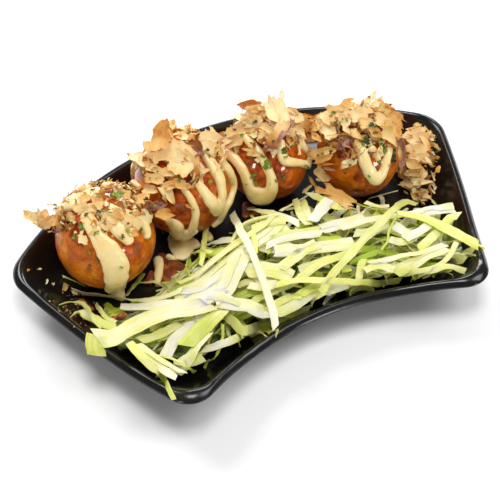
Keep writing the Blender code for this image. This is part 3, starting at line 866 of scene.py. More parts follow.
# %% The families of shavings
# family: (how many kinds, cells, outline, cup, ruffle, teeth, crumple, most curl, most twist)
FAMILIES = {
    "flat": (6, (6, 5), (0.78, 1.0, 0.86, 1.0, 0.92, 0.7), 0.22, 0.030, 0.13, 0.016, 1.0, 0.5),
    "fan": (4, (6, 5), (0.34, 0.55, 0.8, 0.9, 1.0, 0.9), 0.26, 0.030, 0.12, 0.014, 1.0, 0.5),
    "taper": (4, (6, 4), (0.9, 1.0, 0.78, 0.56, 0.40, 0.08), 0.26, 0.030, 0.08, 0.014, 1.2, 0.8),
    "shell": (3, (5, 5), (0.45, 0.88, 1.0, 0.84, 0.4), 0.7, 0.020, 0.06, 0.016, 1.5, 0.5),
    "curl": (1, (8, 5), (0.62, 0.9, 1.0, 0.92, 1.0, 0.8), -0.45, 0.012, 0.08, 0.006, 1.0, 0.25),
    "shard": (5, (4, 2), (0.3, 1.0, 0.75, 0.55, 0.06), 0.3, 0.035, 0.08, 0.020, 1.5, 1.2),
    "needle": (2, (5, 1), (0.6, 1.0, 0.8, 0.5, 0.1), 0.0, 0.0, 0.0, 0.0, 1.4, 0.8),
    "crumb": (6, (3, 2), (0.5, 1.0, 0.6, 0.2), 0.4, 0.03, 0.10, 0.14, 1.2, 1.0),
}
random = np.random.default_rng(11)
kinds = bpy.data.collections.new("shaving_kinds")
FAMILY_KINDS = {}
for family, (count, cells, outline, cup, ruffle, teeth, crumple, curl, twist) in FAMILIES.items():
    FAMILY_KINDS[family] = []
    for index in range(count):
        bend = curl * (1 if family == "curl" else random.choice([-1, 1]) * random.uniform(0.3, 1))
        mesh = shaving(f"shaving_{len(kinds.objects):02d}", random, cells, outline, bend, cup,
                       ruffle, twist * random.uniform(-1, 1), teeth, crumple)
        FAMILY_KINDS[family].append(len(kinds.objects))
        kinds.objects.link(bpy.data.objects.new(mesh.name, mesh))


# %% A tree that lays pieces on points
def stored(tree, name, kind="FLOAT"):
    """A value stored on the points, read inside a Geometry Nodes tree."""
    made = add_node(tree, "GeometryNodeInputNamedAttribute", {"Name": name}, data_type=kind)
    return made.outputs["Attribute"]


def hand_out(tree, geometry, material, result):
    """Make what was built real, give it its material and link it to the tree's result."""
    real = add_node(tree, "GeometryNodeRealizeInstances", {"Geometry": geometry})
    finished = add_node(tree, "GeometryNodeSetMaterial", {
        "Geometry": real.outputs["Geometry"], "Material": material})
    tree.links.new(finished.outputs["Geometry"], result)


def piece_layer():
    """Geometry Nodes that put a chosen kind on each point with its turn and size."""
    tree, given, result = start_tree(
        "lay_pieces_on_points", "GeometryNodeTree",
        {"Points": "Geometry", "Kinds": "Collection", "Finish": "Material"}, {"Pieces": "Geometry"})
    picked = add_node(tree, "GeometryNodeCollectionInfo", {
        "Collection": given["Kinds"], "Separate Children": True, "Reset Children": True})
    laid = add_node(tree, "GeometryNodeInstanceOnPoints", {
        "Points": given["Points"], "Instance": picked.outputs["Instances"], "Pick Instance": True,
        "Instance Index": stored(tree, "kind", "INT"), "Rotation": stored(tree, "turn", "QUATERNION"),
        "Scale": stored(tree, "stretch", "FLOAT_VECTOR")})
    hand_out(tree, laid.outputs["Instances"], given["Finish"], result["Pieces"])
    return tree


# %% Lay pieces with the tree
def run_tree(item, tree, **values):
    """Put a Geometry Nodes tree on an item and set its inputs, found by their identifiers."""
    modifier = item.modifiers.new("tree", "NODES")
    modifier.node_group = tree
    for socket in tree.interface.items_tree:
        if socket.item_type == "SOCKET" and socket.in_out == "INPUT":
            key = socket.name.replace(" ", "_")
            if key in values:
                modifier[socket.identifier] = values[key]


PIECE_LAYER = piece_layer()
SPOT_VALUES = (("turn", "QUATERNION"), ("stretch", "FLOAT_VECTOR"), ("kind", "INT"),
               ("tint", "FLOAT"), ("end_tint", "FLOAT"))


def lay_pieces(name, spots, collection, material):
    """A plain mesh of pieces laid at spots, each a point followed by its SPOT_VALUES."""
    places, *columns = zip(*spots)
    mesh = bpy.data.meshes.new(name)
    mesh.from_pydata([tuple(place) for place in places], [], [])
    for (attribute, kind), values in zip(SPOT_VALUES, columns):
        store_values(mesh, attribute, kind, [tuple(v) if kind == "QUATERNION" else v for v in values])
    item = new_piece(name, mesh)
    run_tree(item, PIECE_LAYER, Kinds=collection, Finish=material)
    return crisp(baked(item))


# %% Shaving material
shaving_material, tree, shader = start_material(
    "bonito_shaving", Specular_IOR_Level=0.25, Subsurface_Weight=0.35,
    Subsurface_Radius=(1.0, 0.55, 0.25), Subsurface_Scale=0.0005)
lengthwise = named_value(tree, "lengthwise")
first_tint = named_value(tree, "tint")
fade = math_node(tree, "MULTIPLY", lengthwise, lengthwise)
change = math_node(tree, "SUBTRACT", named_value(tree, "end_tint"), first_tint)
tint = math_node(tree, "ADD", first_tint, math_node(tree, "MULTIPLY", fade, change))
grain = add_group(tree, BLOTCHES, Blotch_Size=0.004, Grain_Size=0.0007, Contrast=1.8)
fibre_place = add_node(tree, "ShaderNodeCombineXYZ", {
    "X": math_node(tree, "MULTIPLY", named_value(tree, "crosswise"), 5.0),
    "Y": lengthwise, "Z": math_node(tree, "MULTIPLY", first_tint, 90.0)})
fibres = add_node(tree, "ShaderNodeTexNoise", {
    "Vector": fibre_place.outputs["Vector"], "Scale": 1.0, "Detail": 2.0})
varied = math_node(tree, "ADD", tint, remap(tree, grain["Blotch"], 0.0, 1.0, -0.11, 0.13))
streaks = remap(tree, fibres.outputs["Fac"], 0.3, 0.7, -0.035, 0.035)
body = color_ramp(tree, math_node(tree, "ADD", varied, streaks), [
    (0.0, (0.94, 0.76, 0.44)), (0.15, (0.90, 0.65, 0.31)), (0.32, (0.82, 0.50, 0.16)),
    (0.48, (0.64, 0.28, 0.050)), (0.64, (0.34, 0.11, 0.018)), (0.78, (0.11, 0.033, 0.012)),
    (0.88, (0.46, 0.24, 0.19)), (1.0, (0.27, 0.13, 0.13))])
edge = remap(tree, named_value(tree, "edge"), 0.5, 1.0, 0.0, 0.5)
rim = math_node(tree, "MULTIPLY", edge, grain["Grain"])
finish_surface(tree, shader, mix_colors(tree, rim, body, (0.48, 0.15, 0.025)),
               middle_remap(tree, grain["Grain"], 0.35, 0.6), fibres.outputs["Fac"], 0.1 * MM, 0.5)
print("shaving material:", len(tree.nodes), "nodes")


# %% Random places on a heap
def laid_turn(up, spin, lean, roll):
    """Rotation whose Z is up, spun about it by spin, then tipped by lean and rolled."""
    spun = up.to_track_quat("Z", "Y") @ Euler((0, 0, spin)).to_quaternion()
    return spun @ Euler((roll, lean, 0)).to_quaternion()


OUTWARD_LEAST = 0.15
FILL_DEPTHS = (0.04, 0.85)


def heap_surface(node_name, outwards_from):
    """Triangles of a heap that look away from a point, as (normal, area, corners)."""
    build = bmesh.new()
    build.from_mesh(NODES[node_name].data)
    rows = []
    for face in build.faces:
        if face.normal.dot((face.calc_center_median() - outwards_from).normalized()) > OUTWARD_LEAST:
            rows.append((face.normal.copy(), face.calc_area(), [v.co.copy() for v in face.verts]))
    build.free()
    return rows


def random_spots(rows, count, random):
    """Even random points over triangles, each with its normal."""
    areas = np.array([row[1] for row in rows])
    spots = []
    for pick in random.choice(len(rows), count, p=areas / areas.sum()):
        normal, _, (a, b, c) = rows[pick]
        u, v = random.random(2)
        if u + v > 1:
            u, v = 1 - u, 1 - v
        spots.append((a + (b - a) * u + (c - a) * v, normal))
    return spots


def fill_spots(rows, depth_at, fill, reach, random):
    """Random lay of shavings through a heap's depth, from the crust to its surface."""
    spots = []
    for family, count, lengths, slimness, tilt, (low_tint, high_tint) in fill:
        for point, normal in random_spots(rows, count, random):
            place = depth_at(point, random.uniform(*FILL_DEPTHS))
            if (depth_at(point, 0.0) - point).length > reach and random.random() < SKIPPED_SHARE:
                continue
            length = random.uniform(*lengths) * MM
            width = length * slimness * random.uniform(0.75, 1.25)
            turn = laid_turn(normal, random.uniform(0, 2 * math.pi),
                             random.normal(0, tilt), random.normal(0, tilt))
            tint = low_tint + (high_tint - low_tint) * random.random() ** 1.4
            kind = int(random.choice(FAMILY_KINDS[family]))
            spots.append((place, turn, (length, width, (length + width) / 2), kind,
                          tint, tint + random.normal(0, 0.08)))
    return spots


# %% What fills each heap
# heap: rows of (family, count, length range mm, width to length, tilt, tint range)
HEAP_FILL = {
    "flakes_1": [("crumb", 260, (1, 2.9), 0.7, 0.5, (0.06, 0.82)),
                 ("shard", 80, (2.4, 5), 0.35, 0.4, (0.08, 0.74)),
                 ("flat", 20, (3.5, 5.5), 0.7, 0.3, (0.06, 0.36)),
                 ("needle", 30, (2.4, 5), 0.08, 0.5, (0.3, 0.8))],
    "flakes_2": [("crumb", 60, (1.4, 3.6), 0.7, 0.5, (0.1, 0.82)),
                 ("shard", 50, (3, 6), 0.35, 0.4, (0.1, 0.7)),
                 ("flat", 36, (4.5, 7.5), 0.8, 0.25, (0.05, 0.4)),
                 ("taper", 20, (4.5, 7), 0.6, 0.3, (0.05, 0.44))],
    "flakes_3": [("crumb", 80, (1.4, 3.6), 0.7, 0.5, (0.1, 0.82)),
                 ("shard", 70, (3, 6), 0.35, 0.4, (0.08, 0.7)),
                 ("flat", 40, (4, 7), 0.75, 0.3, (0.05, 0.45)),
                 ("taper", 20, (4, 6.5), 0.6, 0.35, (0.05, 0.45))],
    "flakes_4": [("crumb", 150, (1.4, 3.8), 0.7, 0.6, (0.1, 0.84)),
                 ("shard", 200, (2.8, 6.5), 0.32, 0.7, (0.04, 0.84)),
                 ("flat", 50, (3.6, 6.6), 0.7, 0.6, (0.04, 0.56)),
                 ("taper", 40, (3.6, 6.6), 0.55, 0.7, (0.04, 0.6)),
                 ("needle", 120, (3, 7), 0.07, 0.7, (0.1, 0.78))],
    "flakes_side": [("crumb", 50, (1.6, 3.2), 0.7, 0.6, (0.1, 0.7)),
                    ("shard", 100, (3, 6.5), 0.34, 0.9, (0.04, 0.62)),
                    ("fan", 44, (3.6, 6.8), 0.75, 0.9, (0.02, 0.42)),
                    ("shell", 36, (3.6, 6.2), 0.7, 0.9, (0.04, 0.46)),
                    ("needle", 24, (4, 8), 0.06, 0.8, (0.04, 0.5))],
}
# Where the gap over the crust, in mm, is more than this, most of the fill is skipped: the
# heap there is made of its large shavings, laid one by one
FILL_REACH = {"flakes_1": 6, "flakes_2": 7, "flakes_3": 8, "flakes_4": 40, "flakes_side": 40}
SKIPPED_SHARE = 0.75
print("random pieces asked for:", {heap: sum(row[1] for row in fill) for heap, fill in HEAP_FILL.items()})

# %% Fill the heaps
HEAPS = {f"flakes_{number}": f"ball_{number}" for number in range(1, 5)}
SIDE_DEPTH = 6 * MM
random = np.random.default_rng(5)
side_low, side_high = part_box("flakes_side")
side_foot = Vector(((side_low.x + side_high.x) / 2, (side_low.y + side_high.y) / 2, side_low.z))
heap_spots = {}
for heap, fill in HEAP_FILL.items():
    ball = HEAPS.get(heap)
    middle = BALLS[ball][0] if ball else side_foot

    def depth_at(point, share):
        """A point at a share of the way from the crust, or the heap's inside, to its surface."""
        inward = (middle - point).normalized()
        crust = crust_trees[ball].ray_cast(point, inward)[0] if ball else point + inward * SIDE_DEPTH
        return point.lerp(crust, 1 - share) if crust else point

    heap_spots[heap] = fill_spots(heap_surface(heap, middle), depth_at, fill,
                                  FILL_REACH[heap] * MM, random)
print("random pieces laid:", {heap: len(spots) for heap, spots in heap_spots.items()})

# %% Shavings laid one by one
# Rows are (family, x, y, z of the start, x, y, z of the end, width in mm, roll in degrees,
# tint at the start and at the end)
LAID_SHAVINGS = {
    "flakes_loose": [
        ("flat", 33.5, 6, 24.5, 39.5, -12, 26.5, 6.2, 12, 0.34, 0.3),
        ("taper", 31, 9, 22, 36.5, -3, 25, 3.4, -20, 0.42, 0.34),
    ],
    "flakes_1": [
        ("shell", -87, 34.5, 34.2, -94.5, 39.6, 38.2, 5, 10, 0.1, 0.05),
        ("flat", -83.6, 36, 36.2, -92.6, 36.9, 35.7, 5.7, -15, 0.12, 0.08),
        ("taper", -88, 32.7, 32.3, -88.2, 39.4, 38.9, 3.3, 25, 0.22, 0.15),
        ("fan", -81, 28, 42.7, -89, 33.6, 33, 5, -20, 0.3, 0.25),
        ("taper", -89.8, 34.9, 34.2, -87.2, 31.9, 31.7, 2.9, 0, 0.35, 0.3),
        ("flat", -81, 26.7, 43.9, -86, 28.1, 37.9, 4.3, 30, 0.42, 0.3),
        ("shard", -84.7, 23.3, 39.9, -80.8, 26.4, 46.1, 2.9, 20, 0.45, 0.35),
        ("shard", -92.6, 36.9, 35.7, -93.4, 40.3, 39.1, 1.9, 30, 0.2, 0.3),
        ("crumb", -81.9, 28.2, 40.9, -79.9, 20.7, 45.1, 3.6, 0, 0.72, 0.7),
        ("crumb", -82.8, 23.9, 41.4, -80.4, 18.1, 43.8, 3.6, 30, 0.75, 0.8),
        ("crumb", -79.7, 25.1, 44.8, -77.7, 20.2, 46.5, 2.9, 60, 0.66, 0.72),
        ("crumb", -84.8, 26.9, 36.5, -83.3, 20.9, 40.6, 2.4, 20, 0.92, 0.78),
        ("flat", -77.2, 20.9, 48.6, -70.8, 19.8, 51.4, 4.3, 10, 0.18, 0.22),
        ("flat", -72.9, 18.5, 50.8, -65.1, 15.8, 52, 3.9, -10, 0.16, 0.25),
        ("fan", -69.1, 21.8, 52.7, -64.9, 16.1, 52.1, 3.6, 20, 0.25, 0.35),
        ("taper", -75.2, 16.8, 48.6, -72.5, 11.4, 47.4, 4.3, 0, 0.3, 0.4),
        ("shard", -72.4, 13.1, 48.7, -72, 9.2, 46.4, 3.3, 20, 0.45, 0.55),
        ("flat", -70, 11.8, 48.8, -66.3, 7.3, 46.3, 4.3, 10, 0.15, 0.3),
        ("shell", -66.6, 12.4, 50.5, -63, 7.9, 47.2, 4.3, 0, 0.2, 0.3),
        ("taper", -64, 11.8, 50.8, -60, 8.1, 47.4, 3.6, -20, 0.35, 0.45),
        ("flat", -61.4, 9.7, 48.5, -57, 7, 44.9, 5, 0, 0.18, 0.3),
        ("shell", -61.3, 5.7, 44.3, -56.2, 4.4, 41, 4.3, 0, 0.3, 0.35),
        ("shard", -66, 22.1, 53, -61.2, 17.9, 52.5, 2.1, 30, 0.5, 0.6),
        ("shard", -63.3, 16.4, 53.1, -54.9, 19.1, 51.4, 1.9, 0, 0.55, 0.65),
        ("shard", -59.4, 15.2, 52.2, -58.5, 9.4, 49.4, 2.1, 10, 0.48, 0.6),
        ("shard", -69.9, 18.2, 52.5, -67.9, 12.9, 50.6, 2.1, 60, 0.4, 0.6),
        ("crumb", -60.8, 13.9, 52.2, -58.1, 11.8, 50.9, 2.6, 0, 0.66, 0.6),
        ("crumb", -66.9, 14.9, 52.3, -64.4, 12.3, 51.6, 2.6, 40, 0.55, 0.66),
        ("crumb", -64.6, 23.6, 53.4, -62.2, 20.7, 53.3, 2.4, 40, 0.35, 0.75),
        ("shell", -53.1, 13.6, 47.7, -45.3, 20.1, 43.9, 5, 0, 0.28, 0.22),
        ("shell", -48.9, 15.7, 46.7, -44.7, 15, 41.3, 4.3, 20, 0.4, 0.32),
        ("flat", -50.4, 11.7, 45.7, -37.5, 19.8, 34.8, 4, -20, 0.78, 0.96),
        ("taper", -46.6, 15.1, 45.2, -37.3, 18.8, 34.1, 2.9, 10, 0.9, 0.7),
        ("shell", -47, 10.8, 40.3, -36.6, 16.2, 32.1, 5.4, 0, 0.34, 0.4),
        ("flat", -52.2, 10.8, 46, -48.5, 8.4, 39.4, 5, 0, 0.06, 0.12),
        ("fan", -55.9, 9.1, 46.5, -54.2, 5.5, 42, 4.3, 0, 0.12, 0.22),
        ("flat", -56.3, 7, 44.6, -61.4, 5.4, 44.6, 4.3, 0, 0.2, 0.28),
        ("shard", -55.9, 10.7, 47.9, -50.3, 10.5, 44.3, 2.1, 30, 0.35, 0.5),
    ],
    "flakes_2": [
        ("fan", -25, 44.6, 59.5, -32.6, 34.6, 50.4, 10, 0, 0.44, 0.24),
        ("shard", -27.1, 44.8, 57.8, -28.3, 38.9, 57, 2.6, 10, 0.6, 0.45),
        ("shard", -24.9, 40.3, 58.2, -25.4, 34.3, 55.7, 2.1, 10, 0.45, 0.35),
        ("flat", -37.6, 36.6, 47.9, -27.5, 28.5, 53.3, 4.6, 0, 0.24, 0.14),
        ("taper", -38.8, 38.6, 46.7, -35.4, 31, 49.8, 2.6, 10, 0.55, 0.4),
        ("flat", -40.7, 46.4, 42.8, -35.3, 27.8, 49.2, 6.1, -10, 0.05, 0.14),
        ("shard", -41.2, 49.4, 40.3, -41.5, 36.9, 45.9, 2.4, 0, 0.12, 0.1),
        ("flat", -40, 35, 46.9, -34.9, 25.4, 48.6, 3.6, 10, 0.22, 0.32),
        ("flat", -22, 30.9, 55.7, -31.1, 19.7, 48, 12.6, 0, 0.16, 0.26),
        ("flat", -30.2, 31.8, 53.7, -24.8, 23.5, 52.6, 6.4, 10, 0.1, 0.18),
        ("fan", -23.6, 27.3, 56.1, -21.5, 19.3, 49.4, 4.3, 25, 0.12, 0.3),
        ("flat", -17.3, 33.4, 55.4, -18.2, 22.8, 52.7, 5.3, 15, 0.64, 0.84),
        ("shard", -18.5, 33.2, 56.6, -15.9, 29, 55.2, 2.1, 0, 0.45, 0.7),
        ("taper", -15.8, 34.1, 55.6, -21.5, 30.2, 56.1, 2.9, 0, 0.3, 0.5),
        ("crumb", -25.6, 35.7, 54.7, -23.1, 30.9, 55.7, 3.3, 0, 0.5, 0.66),
        ("shard", -26.5, 34.5, 54.6, -19.7, 27.6, 55.5, 2.4, 10, 0.35, 0.5),
        ("flat", -14.3, 33.3, 54.7, -4.6, 32.3, 48.4, 6, 10, 0.04, 0.1),
        ("fan", -15.7, 29.4, 54.7, -9.8, 25.8, 49.8, 5.7, 0, 0.08, 0.18),
        ("shard", -7.2, 37.5, 52.5, -4.7, 33.7, 49.2, 2.4, 0, 0.08, 0.35),
        ("flat", -20.2, 25, 52.7, -23.7, 15.9, 44.6, 4.3, 20, 0.16, 0.85),
        ("flat", -42, 29.9, 44.4, -35.1, 22, 46.8, 4.6, 0, 0.3, 0.2),
        ("shell", -44.2, 27.4, 40.6, -39.7, 21.5, 43.4, 4.4, 0, 0.16, 0.2),
        ("taper", -36.8, 21.7, 45.4, -34.8, 15.3, 37.8, 6.4, 0, 0.14, 0.24),
        ("flat", -37.9, 21.1, 44, -27.7, 18, 46.5, 4.3, -10, 0.3, 0.2),
        ("shell", -32.8, 20.2, 46.9, -28.2, 15.5, 44.1, 3.6, 0, 0.34, 0.3),
        ("shard", -38, 19.6, 41.9, -37.2, 16.6, 38.2, 2.1, 30, 0.35, 0.45),
        ("shard", -35.2, 20.1, 46.1, -28.9, 18.7, 47.4, 2.1, 0, 0.4, 0.35),
        ("flat", -37.4, 26.7, 48.1, -30.3, 21.9, 49.6, 4.3, 0, 0.25, 0.15),
        ("crumb", -28.8, 17.5, 44.5, -24.9, 15.9, 43.1, 2.6, 0, 0.4, 0.5),
        ("shard", -30.7, 14.1, 37.4, -27.1, 12.1, 33.9, 1.6, 0, 0.45, 0.55),
    ],
    "flakes_3": [
        ("flat", -0.6, 40.7, 35.7, 8.4, 31.5, 44.7, 5.3, 0, 0.14, 0.22),
        ("fan", 0.5, 49.9, 30.5, 3, 39.5, 42.2, 4.3, 0, 0.08, 0.14),
        ("flat", 0.7, 40.8, 38.6, 16.5, 35.3, 48.4, 7.1, 0, 0.14, 0.2),
        ("flat", 9.6, 39.4, 46.5, 18.1, 33.7, 49.6, 5.7, 10, 0.12, 0.18),
        ("shell", 14.1, 50.8, 44.8, 22.8, 42.7, 50.6, 4.6, 0, 0.44, 0.36),
        ("taper", 15, 48.3, 47.9, 15.7, 40.2, 50.2, 2.9, 20, 0.55, 0.45),
        ("flat", 13.5, 43.9, 48, 21.1, 37.8, 50.8, 5, 10, 0.1, 0.22),
        ("crumb", 16.3, 41.3, 50, 18.1, 36.8, 51, 2.9, 0, 0.3, 0.66),
        ("shard", 18, 41.5, 51.1, 21.8, 36.1, 52, 2.6, 10, 0.3, 0.4),
        ("curl", 26.6, 39.7, 54.8, 23.4, 26.6, 48.7, 8.9, 0, 0.08, 0.1),
        ("flat", 22.9, 39.8, 53.4, 21, 28.2, 49.9, 5, -10, 0.05, 0.12),
        ("shard", 31.4, 43.2, 53.6, 29.9, 36.5, 52.2, 2.6, 10, 0.03, 0.08),
        ("flat", 26, 28.6, 50.4, 12.2, 19.9, 43.1, 6, 0, 0.2, 0.94),
        ("taper", 29, 27.6, 49.8, 16.9, 19.9, 46.2, 4.2, 15, 0.86, 0.96),
        ("flat", 12.6, 29.3, 46.6, 16.7, 23, 45.2, 5.7, 10, 0.22, 0.36),
        ("shell", 14.7, 31.9, 48.6, 18.8, 25.6, 48.1, 5, 0, 0.16, 0.3),
        ("crumb", 12.5, 27.6, 46.1, 14.6, 22.9, 44.2, 3.9, 0, 0.66, 0.86),
        ("shard", 12.9, 31.6, 47.6, 16.6, 26.1, 47.6, 2.6, 10, 0.45, 0.55),
        ("flat", 32.4, 37.1, 47.7, 35.6, 30.3, 42.9, 5, 0, 0.04, 0.1),
        ("shard", 30.5, 36.7, 49.8, 35.4, 33.1, 44.8, 2.6, 0, 0.08, 0.3),
        ("shard", 34.4, 34.4, 46.1, 41.7, 34.7, 36.7, 2.4, 10, 0.3, 0.48),
        ("flat", 35.4, 33.1, 44.8, 42.1, 32.2, 34.6, 5, 10, 0.22, 0.35),
        ("shard", 39.7, 37.5, 40.3, 45.5, 34.1, 38.7, 2.1, 0, 0.45, 0.6),
        ("shard", 38.5, 30.7, 39.4, 42.5, 29.6, 32.5, 2.9, 10, 0.35, 0.5),
        ("taper", 31.4, 28.9, 44.9, 35, 24.3, 38.1, 3.6, 0, 0.1, 0.2),
    ],
    "flakes_4": [
        ("flat", 39.7, 37, 32.1, 43, 22.6, 44.6, 4.6, 0, 0.3, 0.16),
        ("shard", 40.8, 33.2, 38.3, 45.7, 30.4, 45.6, 2.1, 0, 0.35, 0.55),
        ("fan", 42.9, 31.2, 41.6, 44, 14.6, 43.4, 6.4, 0, 0.06, 0.14),
        ("flat", 45, 29.2, 45.9, 45.8, 18.9, 47.1, 5.7, 10, 0.16, 0.3),
        ("shard", 39.1, 27.1, 37.1, 40.1, 17.1, 40, 3.6, 0, 0.34, 0.44),
        ("flat", 38.2, 34.1, 28.4, 38.8, 22.2, 39.2, 3.6, 10, 0.3, 0.4),
        ("fan", 39.2, 16.7, 37.2, 35.6, 21.6, 28.9, 4.3, 0, 0.2, 0.26),
        ("fan", 43.7, 10.8, 40.2, 36.4, 21.6, 30.1, 4.6, 0, 0.22, 0.2),
        ("flat", 41.6, 10.4, 37, 36.2, 18.1, 29, 2.9, 0, 0.42, 0.34),
        ("shard", 36.4, 18.3, 27.2, 40.8, 8.7, 33.7, 2.4, 0, 0.4, 0.5),
        ("shard", 37.6, 13, 28.8, 41.6, 6.1, 31, 1.7, 0, 0.86, 0.92),
        ("flat", 42.2, 6.7, 32.7, 49.4, 2.9, 37.4, 2.6, 20, 0, 0.02),
        ("shard", 42.9, 6.6, 34.6, 47.5, 4.8, 38.3, 1.9, 10, 0.04, 0),
        ("flat", 46.6, 29.1, 46.8, 53.2, 17.6, 51.9, 5.7, 0, 0.22, 0.12),
        ("fan", 48.7, 22.8, 50.6, 56.1, 22.9, 53.7, 5, 0, 0.24, 0.34),
        ("shard", 53.6, 24.3, 53.1, 58.3, 23.7, 53.7, 2.4, 10, 0.4, 0.3),
        ("flat", 48, 20, 49.1, 51.1, 13.7, 49.1, 5, 10, 0.2, 0.1),
        ("flat", 51.4, 17.3, 50.4, 59.5, 13.4, 51.6, 5.7, 0, 0.1, 0.14),
        ("fan", 55, 18.1, 52.7, 62.5, 15, 53, 5, 0, 0.18, 0.24),
        ("taper", 59.3, 16.8, 53.9, 66.8, 21.2, 56.1, 3.6, 10, 0.12, 0.06),
        ("taper", 63.4, 15.3, 53.4, 70.3, 19.5, 53.5, 3.6, 0, 0.14, 0.24),
        ("shard", 64.2, 18, 53.8, 68.4, 22.4, 55.4, 2.1, 0, 0.1, 0.04),
        ("flat", 65.4, 17.1, 53.1, 71.8, 12.1, 48.6, 5, 0, 0.3, 0.4),
        ("fan", 66.1, 15.3, 52.3, 76.3, 8.7, 43, 5.7, 0, 0.34, 0.44),
        ("flat", 61.5, 11.8, 51.2, 68.6, 5.8, 46.2, 5.7, 0, 0.22, 0.34),
        ("flat", 64.4, 7.6, 48.4, 72.6, 4, 42, 5, 0, 0.3, 0.42),
        ("taper", 63.2, 7.1, 47.9, 67.8, 0.7, 39.3, 6.4, 0, 0.2, 0.26),
        ("shard", 71.2, 13.5, 49.7, 77.5, 9.8, 43.1, 2.6, 0, 0.5, 0.6),
        ("shard", 68.1, 14.4, 52.1, 73.4, 15.7, 50.4, 1.9, 0, 0.5, 0.7),
        ("flat", 53.9, 12.8, 49.6, 60.6, 8.5, 49.4, 5, 0, 0.3, 0.22),
        ("shell", 56.4, 8.4, 48.3, 61.7, 4.2, 45.6, 4.3, 0, 0.34, 0.44),
        ("taper", 50, 11.7, 47.3, 53, 6.6, 45.3, 4.3, 0, 0.28, 0.38),
        ("shard", 47.4, 15.9, 47.9, 49.9, 10, 46.8, 2.9, 0, 0.16, 0.4),
        ("needle", 46.6, 8.2, 42.7, 41.9, 9.9, 40.3, 0.7, 0, 0.8, 0.8),
        ("needle", 46.8, 8.5, 42.9, 44.1, 12.6, 43.1, 0.7, 0, 0.78, 0.82),
        ("needle", 47.5, 8.3, 43.3, 47.8, 12.1, 45.9, 0.7, 0, 0.8, 0.8),
        ("needle", 46.9, 7.3, 42.4, 49.7, 3.2, 40.6, 0.7, 0, 0.8, 0.7),
        ("needle", 47.8, 8.9, 43.7, 51.8, 8.8, 45.9, 0.7, 0, 0.75, 0.8),
        ("needle", 45.7, 8, 41.3, 43.1, 7.4, 37.9, 0.7, 0, 0.75, 0.7),
        ("needle", 47.4, 6.6, 41.7, 46.8, 3.7, 38.4, 0.7, 0, 0.55, 0.45),
        ("needle", 48.6, 7.2, 42.7, 52, 4.5, 42.5, 0.7, 0, 0.45, 0.3),
        ("needle", 45.9, 9.9, 43.6, 43.5, 14.5, 43.7, 0.7, 0, 0.7, 0.6),
        ("crumb", 45.3, 11.8, 43.2, 47.5, 6.8, 42.5, 4.3, 0, 0.8, 0.84),
        ("crumb", 47.4, 11.2, 44.9, 50.1, 7.2, 44, 4.3, 30, 0.78, 0.8),
        ("crumb", 43.2, 12.3, 41.7, 44.9, 7.9, 40.7, 3.6, 0, 0.72, 0.8),
        ("shard", 49.9, 8.4, 45.1, 50.8, 3.8, 41.6, 2.1, 0, 0.35, 0.3),
        ("shard", 40.5, 17.9, 41.2, 45.5, 13.8, 45.5, 2.9, 0, 0.1, 0.2),
        ("flat", 72.7, 5.9, 40.3, 72.2, 0.1, 24.4, 3.1, 20, 0.9, 0.86),
        ("shard", 69.4, 1.4, 37.5, 69.8, -1.4, 29.4, 2.1, 0, 0.14, 0.88),
        ("flat", 37.3, 19.6, 23.6, 39.5, 10.4, 21.3, 5, 20, 0.22, 0.16),
        ("shell", 37.9, 18, 18.4, 39.3, 10.3, 23.5, 4.3, 0, 0.12, 0.18),
        ("shard", 35.4, 21.8, 16.1, 37.4, 15.7, 12, 2.1, 0, 0.3, 0.4),
        ("shard", 30.1, 18.2, 10.9, 36.4, 18.8, 14, 1.9, 0, 0.08, 0.1),
    ],
    "flakes_side": [
        ("needle", 90.9, 26.1, 18.7, 95.3, 19.6, 24.6, 0.9, 0, 0.05, 0.05),
        ("needle", 85.8, 18.2, 24.3, 93.4, 21.3, 22.7, 0.9, 0, 0.1, 0.05),
        ("fan", 83.7, 16.3, 23.7, 92.5, 8.4, 25.5, 7.9, 0, 0.08, 0.14),
        ("fan", 85.2, 17.3, 24.3, 94.3, 16.2, 25.5, 4.3, 10, 0.08, 0.04),
        ("flat", 80.8, 11.2, 21.9, 89.4, 4.9, 24.6, 5.7, 0, 0.14, 0.22),
        ("fan", 80.1, 8.4, 20.4, 88.6, 0.9, 22.1, 5, 0, 0.16, 0.1),
        ("shell", 79.1, 7.9, 18.1, 83, -1, 20.9, 5, 0, 0.22, 0.3),
        ("fan", 77.6, 6, 12.9, 83.1, -2.4, 20.1, 5, 0, 0.14, 0.2),
        ("taper", 77.4, -1.3, 14.1, 84.6, -8.9, 17.7, 3.6, 0, 0.05, 0.04),
        ("flat", 77.6, 6.4, 7, 80, -6.8, 15.8, 5, 0, 0.18, 0.12),
        ("fan", 77.4, 1.5, 6.1, 80.4, -12, 13.9, 4.3, 0, 0.16, 0.1),
        ("shard", 75.9, 1.8, 5.4, 77.3, -3.8, 2.2, 2.9, 0, 0.22, 0.88),
        ("shard", 75.8, -6.5, 7.6, 81.2, -7.7, 1.7, 2.9, 0, 0.88, 0.7),
        ("taper", 90, 12.6, 27.2, 89.3, 2.9, 23.2, 3.6, 0, 0.2, 0.5),
        ("shard", 84.7, 2.2, 23.8, 88.2, -1.3, 21, 2.1, 0, 0.06, 0.1),
    ],
}
print(sum(len(rows) for rows in LAID_SHAVINGS.values()), "shavings laid by hand")

# %% Lay the shavings
UP_FRONT = Vector((-0.30, -0.585, 0.754))


